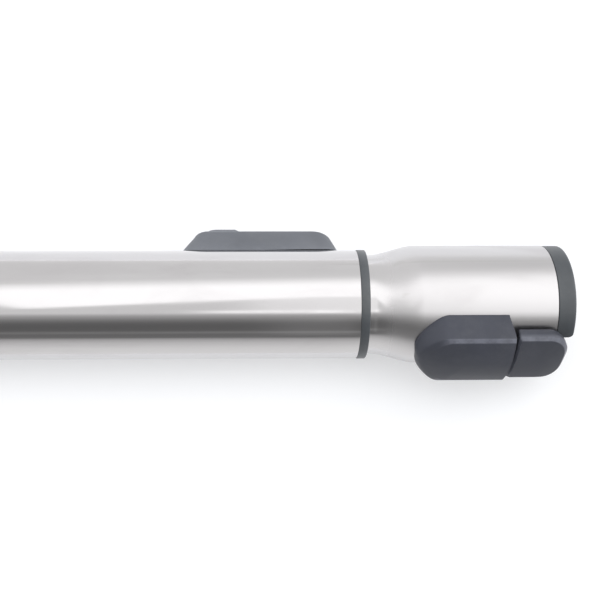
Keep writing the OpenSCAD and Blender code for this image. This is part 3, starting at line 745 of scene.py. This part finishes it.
# Lining, in the latch's frame: r = bore, plus the relief around the catch. The wall grows outward, thinner
# where the relief is, and the catch's hole and the hooks' slots are left out.
def makeLining(s):
    around = 144
    step = circle / around
    low, high = s["relief"]
    x = np.concatenate(
        [
            [s["front"], -12.0, s["hooks"][1][1], -24.0, s["hooks"][1][0], high + 0.25, high],
            s["hole"]["at"] + np.linspace(1, -1, 17) * s["hole"]["reach"],
            [low, low - 0.25],
            [s["hooks"][0][0], s["rear"]],
        ]
    )
    x = np.unique(np.round(np.append(x, s["hooks"][0][1]), 6))[::-1]
    x, angle = np.meshgrid(x, np.arange(around) * step, indexing="ij")
    relief = ((x <= high) & (x >= low)).astype(float)
    radius = s["bore"] + s["reliefDepth"] * relief
    newX, newAngle = drillHole(x, wrapAngle(angle), radius, s["hole"])
    u, v = faceMean(x), wrapAngle(angle + step / 2)
    patch = np.maximum(abs(u - s["hole"]["at"]) / s["hole"]["reach"], abs(v) / s["hole"]["spread"])
    keep = patch > 0.5
    hookNear = (abs(v) > s["hookColumns"][0] * step) & (abs(v) < s["hookColumns"][1] * step)
    for back, ahead in s["hooks"]:
        keep &= ~(hookNear & (u > back) & (u < ahead))
    points = np.stack([newX, radius * np.sin(newAngle), radius * np.cos(newAngle)], -1)
    piece = makePiece("socketLining", [shell(points, closeV=True, keep=keep)], latchTurn)
    co = np.empty(len(piece.data.vertices) * 3, np.float32)
    piece.data.vertices.foreach_get("co", co)
    reach = np.hypot(*co.reshape(-1, 3).T[1:]) / millimetre - s["bore"]
    group = piece.vertex_groups.new(name="wall")
    thin = np.flatnonzero(reach > s["reliefDepth"] / 2)
    group.add(np.flatnonzero(reach <= s["reliefDepth"] / 2).tolist(), 1.0, "REPLACE")
    group.add(thin.tolist(), 1 - s["reliefDepth"] / s["wall"], "REPLACE")
    inward = bmesh.new()
    inward.from_mesh(piece.data)
    bmesh.ops.reverse_faces(inward, faces=inward.faces)
    inward.to_mesh(piece.data)
    inward.free()
    addWall(piece, s["wall"], 0.1)
    piece.modifiers["wall"].vertex_group = "wall"
    return dress(piece, "upper_section", "collar_plastic", finishes["collarPlastic"], "socket_liner")


# Collar, in the latch's frame: its section is swept between the notch's two flat sides,
# so at radius r it starts at the angle whose sine is notch half-width / r. The ends' corners are round in plan, and
# the ends close on the section's middle.
def makeCollar(s):
    section = roundPath(
        [
            (0.0, s["bore"] + 0.35, 0.18),
            (0.0, s["collarOuter"], 0.5),
            *[(s["collarBack"] * k, s["collarOuter"], 0.0) for k in (0.15, 0.22, 0.3, 0.7, 0.78, 0.86)],
            (s["collarBack"], s["collarOuter"], 0.22),
            (s["collarBack"], s["bore"], 0.0),
            *[(s["collarBack"] * k, s["bore"], 0.0) for k in (0.86, 0.78, 0.7, 0.3, 0.22, 0.15)],
            (-0.5, s["bore"], 0.15),
        ]
    )
    x, r = section.T
    t = np.linspace(0, 1, 121)[:, None]
    inside = np.clip(np.minimum(-x, x - s["collarBack"]) / s["endRound"], 0, 1)
    drawn = s["endRound"] * (1 - np.sqrt(1 - (1 - inside) ** 2))
    start = np.arcsin((s["notchHalf"] + drawn) / r)[None, :]
    angle = mix(start, circle - start, t)
    points = np.stack([x[None, :] + 0 * t, r * np.sin(angle), r * np.cos(angle)], -1)
    cap = points[[0, -1]].mean(1, keepdims=True) + 0 * points[[0, -1]]
    points = np.concatenate([cap[:1], points, cap[1:]])
    worn = np.exp(-((x / 0.5) ** 2)) * (r > s["collarOuter"] - 0.6) + 0 * points[..., 0]
    piece = makePiece("mouthCollar", [shell(points, closeV=True, edge=worn)], latchTurn)
    easeEdges(piece, 0.3, 3, 55)
    return dress(piece, "upper_section", "collar_plastic", finishes["collarPlastic"], "socket_liner")


makeLining(socketLiner)
makeCollar(socketLiner)
print("sleeve, lining and collars made")

# Slider
slider = {
    "x0": -122.2,
    "x1": -70.6,
    "half": 10.6,
    "cornerLeft": (3.0, 4.6),
    "cornerRight": (4.4, 6.2),
    "top": 24.6,
    "edge": 1.8,
    "draftX": (3.2, 1.5),
    "endRoll": (1.7, 2.8),
    "draftY": 0.4,
    "skirt": 17.85,
    "skirtLift": 0.35,
    "liftFrom": (-98.0, -80.0),
    "cavityHalf": 8.7,
    "cavityCorner": 3.2,
    "wall": 1.0,
    "foot": 0.8,
    "ceiling": 23.2,
    "spine": 8.0,
    "ridgeAt": -108.6,
    "ridgeHalf": 4.8,
    "ridgeReach": (12.0, 9.2),
    "ridgeHeight": 0.83,
    "ridgeFlank": 1.1,
}


# Slider, in its own frame: levels of one outline, from the hollow's ceiling down its wall, across the skirt that
# follows the tube, up the drafted outside, over a quarter-round edge and in to the middle line of the top.
def makeSlider(s):
    length = s["x1"] - s["x0"] - 2 * s["spine"]
    dense = np.concatenate([np.linspace(0, 2.4, 6), np.linspace(3.4, 6.2, 4), np.linspace(6.8, 10.4, 9), np.linspace(11.6, length, 19)])
    samples = outlineSamples(2 * dense[1:-1] / length - 1, 10, 12)
    q = np.linspace(0, 1, 8) * math.pi / 2
    roll = s["edge"] * (1 - np.cos(q))
    up = np.array([0, 0.25, 0.5, 0.75])
    x0 = np.concatenate([s["x0"] + s["draftX"][0] * up, s["x0"] + s["draftX"][0] + s["endRoll"][0] * roll])
    x1 = np.concatenate([s["x1"] - s["draftX"][1] * up, s["x1"] - s["draftX"][1] - s["endRoll"][1] * roll])
    half = np.concatenate([s["half"] - s["draftY"] * up, s["half"] - s["draftY"] - roll])
    left = np.concatenate([mix(*s["cornerLeft"], up), s["cornerLeft"][1] - roll])
    right = np.concatenate([mix(*s["cornerRight"], up), s["cornerRight"][1] - roll])
    x, y = placeOutline(samples, x0, x1, half, left, left, right, right)
    low = s["top"] - s["edge"]
    z = np.concatenate([up, low + s["edge"] * np.sin(q)])[:, None] + 0 * x

    def skirtAt(x, y):
        lift = smoothStep((x - s["liftFrom"][0]) / (s["liftFrom"][1] - s["liftFrom"][0]))
        return arcHeight(s["skirt"], y) + s["skirtLift"] * lift

    z[:4] = mix(skirtAt(x[:4], y[:4]), low, up[:, None])
    edge = np.concatenate([[0.5, 0.15, 0, 0], np.sin(2 * q) ** 2])[:, None] + 0 * x
    wall = np.array([s["wall"], s["foot"]])
    slope = np.array([1, 0])
    cx, cy = placeOutline(
        samples, s["x0"] + wall + s["draftX"][0] * slope, s["x1"] - wall - s["draftX"][1] * slope,
        [s["cavityHalf"]] * 2, [s["cavityCorner"]] * 2, [s["cavityCorner"]] * 2,
    )
    cz = np.stack([s["ceiling"] + 0 * cx[0], skirtAt(cx[1], cy[1])])
    spineX = mix(s["x0"] + s["spine"], s["x1"] - s["spine"], (samples[0] + 1) / 2)
    inner = np.array([1.0, 0.5])[:, None]
    outer = np.linspace(0, 1, 22)[1:, None]
    topX, topY = mix(x[-1:], spineX, outer), y[-1:] * (1 - outer)
    xs = np.concatenate([mix(cx[:1], spineX, inner), cx, x, topX])
    ys = np.concatenate([cy[:1] * (1 - inner), cy, y, topY])
    zs = np.concatenate([s["ceiling"] + 0 * xs[:2], cz, z, s["top"] + 0 * topX])
    rise = smoothStep((s["ridgeHalf"] - abs(xs - s["ridgeAt"])) / s["ridgeFlank"])
    reach = np.where(ys < 0, *s["ridgeReach"])
    rise = rise * smoothStep((reach - abs(ys)) / s["ridgeFlank"])
    zs = zs + s["ridgeHeight"] * rise * (zs > s["ceiling"] + 1)
    edge = np.concatenate([0 * xs[:4], edge, 0.5 * (4 * rise * (1 - rise))[-21:]])
    piece = makePiece("slider", [shell(np.stack([xs, ys, zs], -1), closeV=True, edge=edge)], sliderTurn, 45)
    return dress(piece, "slider", "grey_plastic", finishes["sliderPlastic"], "slider_button")


makeSlider(slider)

# Cover of the latch
latchCover = {
    "x0": -48.6,
    "x1": -19.7,
    "lean": 1.0,
    "half": 12.0,
    "edgeHalf": 10.3,
    "topHalf": 9.15,
    "nearGrow": 0.08,
    "nearDrop": 0.028,
    "skirt": 19.1,
    "edgeZ": 22.8,
    "topZ": 23.55,
    "crown": 1.85,
    "noseX": (9.5, 7.9),
    "noseY": (9.0, 9.4),
    "noseBend": 1.2,
    "noseReach": 7.6,
    "nosePower": 3.5,
    "noseSkew": 0.5,
    "wall": 1.4,
    "rim": 0.2,
    "spine": 7.0,
}


# Cover, in the latch's frame: an outline open at its right end, with a flattened nose. Its levels go from the
# skirt on the socket up the drafted wall, over a narrow bevel and in to the middle line of a crowned top. The nose
# draws back with height h by reach * (1 - (1 - h^p)^(1/p)), which is steepest at the top, and turns a little with
# a sine across. The near side stands out farther and lower, in proportion to its distance from the middle.
def makeCover(s):
    samples = outlineSamples(np.linspace(-1, 1, 14)[1:-1], 8, 16, s["noseBend"], openRight=True)
    f = np.array([0, 0.12, 0.25, 0.36, 0.48, 0.6, 0.7, 0.8, 0.88, 0.95, 0.985])
    draft = np.clip((f - 0.25) / 0.75, 0, 1)
    t = np.array([0.0, 0.15, 0.35, 0.6, 0.85, 1.0])
    half = np.concatenate([mix(s["half"], s["edgeHalf"], draft), mix(s["edgeHalf"], s["topHalf"], t)])
    height = np.concatenate([0.78 * f, mix(0.78, 0.955, t)])
    inset = s["noseReach"] * (1 - (1 - height ** s["nosePower"]) ** (1 / s["nosePower"]))
    up = np.concatenate([f, 1 + 0 * t])
    noseX = mix(*s["noseX"], up) - 0.3 * inset
    noseY = np.minimum(mix(*s["noseY"], up), half - 0.9)
    x, y = placeOutline(samples, s["x0"] + inset, s["x1"] + 0 * inset, half, noseX, noseY, 0, noseY)
    skirt = arcHeight(s["skirt"], y)
    z = np.where(
        np.arange(len(half))[:, None] < len(f),
        mix(skirt, s["edgeZ"], np.concatenate([f, t])[:, None]),
        mix(s["edgeZ"], s["topZ"], np.concatenate([f, t])[:, None]),
    )
    # the bevel rows get a strong edge mark, painted pale: partly wear, partly a painted highlight along the bevel
    edge = np.concatenate([0 * f, [0.8, 1, 1, 1, 1, 0.8]])[:, None] + 0 * x
    edge = edge * smoothStep((x - s["x0"] - 6) / 4)
    spineX = mix(s["x0"] + s["noseReach"] + s["spine"], s["x1"], np.clip((samples[0] + 1) / 2, 0, 1))
    g = np.concatenate([[0.03], np.linspace(0, 1, 13)[1:]])[:, None]
    topX, topY = mix(x[-1:], spineX, g), y[-1:] * (1 - g)
    topZ = s["topZ"] + s["crown"] * (1 - (1 - g) ** 2) + 0 * topX
    xs, ys, zs = np.concatenate([x, topX]), np.concatenate([y, topY]), np.concatenate([z, topZ])
    back = s["lean"] * smoothStep((s["edgeZ"] - zs) / 7.5)
    xs = xs - back * smoothStep((xs - s["x0"] - 12) / (s["x1"] - s["x0"] - 12))
    xs = xs - s["noseSkew"] * np.sin(np.clip(ys / 10, -1, 1) * math.pi) * smoothStep((s["x0"] + 13 - xs) / 10)
    low = np.minimum(ys, 0)
    ys, zs = ys + s["nearGrow"] * low, zs + s["nearDrop"] * low
    edge = np.concatenate([edge, 0 * topX])
    piece = makePiece("latchCover", [shell(np.stack([xs, ys, zs], -1), edge=edge)], latchTurn, 60)
    addWall(piece, s["wall"], s["rim"], 3)
    return dress(piece, "upper_section", "grey_plastic", finishes["latchPlastic"], "latch_cover")


makeCover(latchCover)

# Rocker: release pad, barrel and arm
releasePad = {
    "x0": -18.2,
    "x1": -2.0,
    "half": 10.1,
    "leftCorner": 0.6,
    "nearCorner": (5.0, 6.0),
    "farCorner": (7.0, 8.0),
    "aside": -0.55,
    "top": 23.2,
    "crown": 0.9,
    "domeFrom": -9.8,
    "dome": 0.9,
    "bottomRadius": 20.95,
    "bottomLow": 18.5,
    "bevelDrop": 0.85,
    "bevelIn": 0.9,
    "pivotX": -21.4,
    "pivotZ": 20.7,
    "barrel": 1.55,
    "barrelFrom": -6.0,
    "barrelTo": 3.9,
    "armHalf": 3.6,
    "armLow": 19.45,
    "armHigh": 20.6,
    "catchX": -35.0,
    "boss": 3.6,
}


# Pad, in the latch's frame: levels from the middle of its underside, which follows the socket, up the wall, over a
# bevel and in to the middle of a top that falls as y^2 across and as x^2 toward its right end.
def makePad(s):
    samples = outlineSamples(np.linspace(-1, 1, 12)[1:-1], 14, 14)
    t = np.array([0.0, 0.12, 0.5, 0.88, 1.0])
    inset = np.concatenate([[0.25, 0.08, 0.0, 0.0, 0.0], s["bevelIn"] * t[1:]])
    left = np.maximum(s["leftCorner"] - 0.3 * inset, 0.15)
    sides = [
        placeOutline(
            samples, s["x0"] + inset * 0.7, s["x1"] - inset, s["half"] - inset, left, left,
            corner[0] - 0.6 * inset, corner[1] - 0.6 * inset,
        )
        for corner in (s["nearCorner"], s["farCorner"])
    ]
    x, y = np.where(samples[1] < 0, sides[0], sides[1])

    def topAt(x, y):
        fall = np.clip((x - s["domeFrom"]) / (s["x1"] - s["domeFrom"]), 0, 1) ** 2
        return s["top"] - s["crown"] * (y / s["half"]) ** 2 - s["dome"] * fall

    def bottomAt(y):
        return np.maximum(arcHeight(s["bottomRadius"], y), s["bottomLow"])

    low, high = bottomAt(y), topAt(x, y)
    wallTop = high - s["bevelDrop"]
    rows = [low[0], low[1] + 0.05, low[2] + 0.2, mix(low[3], wallTop[3], 0.6), wallTop[4]]
    rows += [high[5 + k] - s["bevelDrop"] * (1 - t[1 + k]) for k in range(4)]
    z = np.stack(rows)
    g = np.concatenate([[0.03], np.linspace(0, 1, 10)[1:]])[:, None]
    spineX = np.clip(mix(s["x0"] + 2, s["x1"] - 5, (samples[0] + 1) / 2), s["x0"] + 2, s["x1"] - 5)
    topX, topY = mix(x[-1:], spineX, g), y[-1:] * (1 - g)
    underX, underY = mix(x[:1], spineX, g[::-1]), y[:1] * (1 - g[::-1])
    xs = np.concatenate([underX, x, topX])
    ys = np.concatenate([underY, y, topY])
    zs = np.concatenate([bottomAt(underY), z, topAt(topX, topY)])
    # the bevel rows get a strong edge mark, painted pale: partly wear, partly a painted highlight along the bevel
    edge = np.concatenate([0 * underX[:, 0], [0.3, 0.3, 0, 0, 0.6, 0.9, 0.9, 0.9, 0.6], 0 * topX[:, 0]])[:, None] + 0 * xs
    piece = makePiece("releasePad", [shell(np.stack([xs, ys + s["aside"], zs], -1), closeV=True, edge=edge)], latchTurn, 60)
    return dress(piece, "release", "grey_plastic", finishes["latchPlastic"], "release_button")


# Round bar across the wand: a circle in x and z carried along y, drawn to a point at both ends
def crossBar(x, z, radius, y0, y1, ease=0.2):
    y = np.array([y0, y0, y0 + ease, y1 - ease, y1, y1])[:, None]
    r = radius - np.array([radius, ease, 0, 0, ease, radius])[:, None]
    t = np.arange(32) * circle / 32
    return shell(np.stack([x + r * np.cos(t), y + 0 * t, z + r * np.sin(t)], -1), closeV=True)


# Round plate that faces outward: a circle in x and y carried along z
def roundPlate(x, radius, low, high, ease=0.15):
    z = np.array([low, low, low + ease, high - ease, high, high])[:, None]
    r = radius - np.array([radius, ease, 0, 0, ease, radius])[:, None]
    t = np.arange(48) * circle / 48
    return shell(np.stack([x + r * np.cos(t), r * np.sin(t), z + 0 * t], -1), closeV=True)


def makeRocker(s):
    lever = makeSlab(s["pivotX"], s["x0"] + 2, (s["barrelTo"] - s["barrelFrom"]) / 2, 0.4, s["pivotZ"] - 0.6, s["pivotZ"] + 0.9)
    lever["points"][..., 1] += (s["barrelTo"] + s["barrelFrom"]) / 2
    shells = [
        crossBar(s["pivotX"], s["pivotZ"], s["barrel"], s["barrelFrom"], s["barrelTo"]),
        lever,
        makeSlab(s["catchX"], s["pivotX"], s["armHalf"], 0.5, s["armLow"], s["armHigh"]),
        roundPlate(s["catchX"], s["boss"], s["armLow"], s["armHigh"]),
    ]
    piece = makePiece("rockerArm", shells, latchTurn)
    return dress(piece, "release", "grey_plastic", finishes["latchPlastic"], "release_button")


makePad(releasePad)
makeRocker(releasePad)
print("slider and latch made")

# CAD nodes whose shape is right keep it and get their finish here.
keptNodes = {
    "wiper_seal": ("seal_rubber", "sealRubber"),
    "slider_bed": ("inner_plastic", "innerPlastic"),
    "bed_screws": ("bright_steel", "brightSteel"),
    "roller_carrier": ("bright_steel", "brightSteel"),
    "slider_spring": ("spring_steel", "springSteel"),
    "lock_roller": ("bright_steel", "brightSteel"),
    "tube_bush": ("white_plastic", "whitePlastic"),
    "air_seal": ("seal_rubber", "sealRubber"),
    "end_buffer": ("seal_rubber", "sealRubber"),
    "latch_base": ("inner_plastic", "innerPlastic"),
    "pivot_pin": ("bright_steel", "brightSteel"),
    "latch_spring": ("spring_steel", "springSteel"),
    "catch_pin": ("bright_steel", "brightSteel"),
}
for nodeName, (slotName, finish) in keptNodes.items():
    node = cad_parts[nodeName]
    node.data.materials.clear()
    node.data.materials.append(finishes[finish])

# Floor, light tent, dark card that paints a reflection in the steel, lamp and sky
studio = {
    "floorSize": 8.0,
    "floorColour": (0.6, 0.61, 0.63),
    "floorGlow": 0.41,
    "farFrom": (0.75, 1.5),  # where the floor brightens into the background
    "farGlow": 0.6,
    "lampPower": 4.0,
    "lampSize": (2.6, 0.8),
    "lampPlace": (-0.1, 0.15, 1.2),
    "tentRadius": 2.4,
    "tentEnds": (-4.2, 4.0),
    # angle from straight up toward the slider's side, in degrees, and the cloth's brightness there
    "tentTones": (
        (-95, 0.2), (-85, 0.19), (-80, 0.19), (-76, 0.28), (-72, 0.16), (-62, 0.15), (-55, 0.17), (-48, 0.27),
        (-43, 0.4), (-39, 0.53), (-36.5, 0.66), (-34, 0.88), (-10, 0.88), (20, 0.88), (45, 0.94), (55, 0.9),
        (80, 0.92), (91, 1.02),
    ),
    "tentPeak": 1.62,
    "peakLow": (-3.3, 24.0, 2.5, -1.0),  # where the bright strip begins, its turn per metre, softness and most
    "peakCorner": (-0.86, 110.0, -24.0),  # where the strip's low edge turns back, by how much and its level there
    "peakHigh": (20.0, 46.0, 10.5),  # where it starts to fade, where it ends and its turn per metre
    "stripeAt": -31.3,
    "stripeHalf": 3.6,
    "stripeTone": 1.6,
    "stripeFrom": (-0.36, -0.16),
    "stripeTo": (0.14, 0.25),
    "sideFrom": (-0.22, -0.02),  # where the cloth beside the strip grows brighter along x, and by how much
    "sideRise": 0.35,
    "darkFrom": (-0.15, 0.05),  # where the dark band's cloth grows brighter, and where it no longer does
    "darkTo": (0.19, 0.27),
    "darkRise": 0.07,
    "widerFrom": (0.3, 0.5),  # where it grows again and spreads lower
    "widerRise": 0.27,
    "widerBy": 4.0,
    "widerPeak": 14.0,
    "widerDim": 0.13,
    "cardPlace": (-0.098, -0.035),
    "cardTop": 0.02,
    "cardLift": 0.0005,
    # place on the card, from -1 at its near edge on the table over 0 at the fold to 1 at its top, and its tone there
    "cardTones": (
        (-1, 0.98), (-0.65, 0.92), (-0.3, 0.84), (0, 0.78), (0.2, 0.73), (0.4, 0.63), (0.56, 0.56), (0.72, 0.38),
        (0.8, 0.2),
    ),
}


# Strength that camera, mirror and clear rays see, so that metal shows the same background
def seenRays(tree):
    path = addNode(tree, "ShaderNodeLightPath").outputs
    seen = calc(tree, "ADD", path["Is Camera Ray"], path["Is Glossy Ray"], True)
    return calc(tree, "ADD", seen, path["Is Transmission Ray"], True)


# Flat square under the wand
def makeFloor(s, height):
    half = s["floorSize"] / 2 / millimetre
    side = np.linspace(-half, half, 3)
    x, y = np.meshgrid(side, side, indexing="ij")
    piece = makePiece("floor", [shell(np.stack([x, y, 0 * x + height / millimetre], -1))])
    material = bpy.data.materials.new("floorPaper")
    material.use_nodes = True
    tree = material.node_tree
    tree.nodes.clear()
    place = addNode(tree, "ShaderNodeTexCoord").outputs["Object"]
    tone = blendColour(
        tree, noise(tree, place, 14.0, 3.0), tuple(c * 0.99 for c in s["floorColour"]) + (1,), s["floorColour"] + (1,)
    )
    paper = addNode(tree, "ShaderNodeBsdfDiffuse", {"Color": tone}).outputs[0]
    glow = addNode(tree, "ShaderNodeEmission", {"Color": (1, 1, 1, 1)})
    far = remap(tree, addNode(tree, "ShaderNodeVectorMath", {0: place}, operation="LENGTH").outputs["Value"], *s["farFrom"])
    strength = calc(tree, "MULTIPLY_ADD", far, s["farGlow"], c=s["floorGlow"])
    tree.links.new(calc(tree, "MULTIPLY", seenRays(tree), strength), glow.inputs["Strength"])
    both = addNode(tree, "ShaderNodeAddShader", {0: paper, 1: glow.outputs[0]})
    tree.links.new(both.outputs[0], addNode(tree, "ShaderNodeOutputMaterial").inputs["Surface"])
    piece.data.materials.append(material)


# Half cylinder of cloth over the wand, lit by the angle a = atan2(y, z) about the wand. A bright strip lies between
# two slanted edges, with a narrow stripe beside it that starts part of the way along.
def makeTent(s, height):
    a = np.radians(np.linspace(-90, 90, 61))
    radius = s["tentRadius"] / millimetre
    x, a = np.meshgrid(np.array(s["tentEnds"]) / millimetre, a, indexing="ij")
    piece = makePiece("lightTent", [shell(np.stack([x, radius * np.sin(a), radius * np.cos(a) + height / millimetre], -1))])
    material = bpy.data.materials.new("tentCloth")
    material.use_nodes = True
    tree = material.node_tree
    tree.nodes.clear()
    place = addNode(tree, "ShaderNodeSeparateXYZ", {0: addNode(tree, "ShaderNodeTexCoord").outputs["Object"]}).outputs
    angle = calc(tree, "DEGREES", calc(tree, "ARCTAN2", place["Y"], place["Z"]))
    farther = remap(tree, place["X"], *s["widerFrom"], smooth=True)
    shifted = calc(tree, "MULTIPLY_ADD", farther, s["widerBy"], c=angle)
    ramp = addNode(tree, "ShaderNodeValToRGB", {"Fac": remap(tree, shifted, -100.0, 100.0)})
    stops = ramp.color_ramp.elements
    stops.remove(stops[0])
    for k, (degrees, level) in enumerate(s["tentTones"]):
        stop = stops[0] if k == 0 else stops.new((degrees + 100) / 200)
        stop.position = (degrees + 100) / 200
        stop.color = (*[level / s["tentPeak"]] * 3, 1)
    tone = calc(tree, "MULTIPLY", ramp.outputs["Color"], s["tentPeak"])
    side = calc(tree, "MULTIPLY", remap(tree, shifted, -35.5, -33.5, smooth=True), remap(tree, angle, 0.0, 20.0, 1.0, 0.0))
    rise = remap(tree, place["X"], *s["sideFrom"], 0.0, s["sideRise"], smooth=True)
    rise = calc(tree, "MULTIPLY_ADD", farther, s["widerRise"], c=rise)
    tone = calc(tree, "MULTIPLY_ADD", side, rise, c=tone)
    dim = calc(tree, "MULTIPLY", farther, remap(tree, angle, 40.0, 62.0, 0.0, s["widerDim"], smooth=True))
    tone = calc(tree, "SUBTRACT", tone, dim)
    dark = remap(tree, angle, -47.0, -41.0, s["darkRise"], 0.0, smooth=True)
    dark = calc(tree, "MULTIPLY", dark, remap(tree, place["X"], *s["darkFrom"], smooth=True))
    dark = calc(tree, "MULTIPLY", dark, remap(tree, place["X"], *s["darkTo"], 1.0, 0.0, smooth=True))
    tone = calc(tree, "ADD", tone, dark)
    apart = calc(tree, "ABSOLUTE", calc(tree, "SUBTRACT", angle, s["stripeAt"]))
    stripe = remap(tree, apart, 1.2, s["stripeHalf"], 1.0, 0.0, smooth=True)
    stripe = calc(tree, "MULTIPLY", stripe, remap(tree, place["X"], *s["stripeFrom"], smooth=True))
    stripe = calc(tree, "MULTIPLY", stripe, remap(tree, place["X"], *s["stripeTo"], 1.0, 0.0, smooth=True))
    tone = mixValue(tree, stripe, tone, s["stripeTone"])
    start, turn, soft, most = s["peakLow"]
    corner, back, low = s["peakCorner"]
    turned = calc(tree, "MULTIPLY_ADD", calc(tree, "SUBTRACT", corner, place["X"]), back, c=low)
    lowEdge = calc(tree, "MULTIPLY_ADD", place["X"], turn, c=start)
    lowEdge = calc(tree, "MINIMUM", calc(tree, "MAXIMUM", lowEdge, turned), most)
    lowEdge = calc(tree, "MULTIPLY_ADD", farther, -s["widerPeak"], c=lowEdge)
    fromLow = calc(tree, "SUBTRACT", angle, lowEdge)
    peak = remap(tree, fromLow, -soft, soft, smooth=True)
    fade, end, turn = s["peakHigh"]
    fromHigh = calc(tree, "SUBTRACT", angle, calc(tree, "MULTIPLY", place["X"], turn))
    peak = calc(tree, "MULTIPLY", peak, remap(tree, fromHigh, fade, end, 1.0, 0.0, smooth=True))
    tone = mixValue(tree, peak, tone, s["tentPeak"])
    glow = addNode(tree, "ShaderNodeEmission", {"Color": (1, 1, 1, 1), "Strength": tone})
    tree.links.new(glow.outputs[0], addNode(tree, "ShaderNodeOutputMaterial").inputs["Surface"])
    piece.data.materials.append(material)
    piece.visible_camera = False


# Dark card, a glowing sheet that lights nothing and is seen only in the steel as a painted reflection: it lies on the
# table's near side, folds up and darkens toward its top.
def makeCard(s, height):
    fold, front = s["cardPlace"]
    low = height + s["cardLift"]
    x, y = np.meshgrid(s["tentEnds"], [front, fold, fold], indexing="ij")
    z = np.broadcast_to([low, low, s["cardTop"]], x.shape)
    piece = makePiece("paintedReflectionCard", [shell(np.stack([x, y, z], -1) / millimetre)])
    material = bpy.data.materials.new("paintedReflectionGlow")
    material.use_nodes = True
    tree = material.node_tree
    tree.nodes.clear()
    place = addNode(tree, "ShaderNodeSeparateXYZ", {0: addNode(tree, "ShaderNodeTexCoord").outputs["Object"]}).outputs
    along = remap(tree, place["Z"], low, s["cardTop"], 0.5, 1.0)
    along = calc(tree, "SUBTRACT", along, remap(tree, place["Y"], fold, front, 0.0, 0.5))
    ramp = addNode(tree, "ShaderNodeValToRGB", {"Fac": along})
    stops = ramp.color_ramp.elements
    stops.remove(stops[0])
    for k, (at, level) in enumerate(s["cardTones"]):
        stop = stops[0] if k == 0 else stops.new((at + 1) / 2)
        stop.position = (at + 1) / 2
        stop.color = (level, level, level, 1)
    # the glow of the painted reflection, darker toward the card's top
    glow = addNode(tree, "ShaderNodeEmission", {"Color": (1, 1, 1, 1), "Strength": ramp.outputs["Color"]})
    tree.links.new(glow.outputs[0], addNode(tree, "ShaderNodeOutputMaterial").inputs["Surface"])
    piece.data.materials.append(material)
    piece.visible_camera = piece.visible_diffuse = piece.visible_shadow = False


def makeLamp(s):
    data = bpy.data.lights.new("softbox", "AREA")
    data.shape = "RECTANGLE"
    data.size, data.size_y = s["lampSize"]
    data.energy = s["lampPower"]
    lamp = bpy.data.objects.new("softbox", data)
    lamp.location = s["lampPlace"]
    lamp.visible_camera = False
    lamp.visible_glossy = False
    bpy.context.scene.collection.objects.link(lamp)


def makeSky():
    world = bpy.data.worlds.new("paleRoom")
    bpy.context.scene.world = world
    world.use_nodes = True
    tree = world.node_tree
    strength = remap(tree, seenRays(tree), 0.0, 1.0, 0.8, 1.0)
    tree.links.new(strength, tree.nodes["Background"].inputs["Strength"])
    tree.nodes["Background"].inputs["Color"].default_value = (1, 1, 1, 1)


floorHeight = cadLow.z - 0.0002
makeFloor(studio, floorHeight)
makeTent(studio, floorHeight)
makeCard(studio, floorHeight)
makeLamp(studio)
makeSky()
bpy.context.scene.view_settings.view_transform = "Standard"
print("studio made")
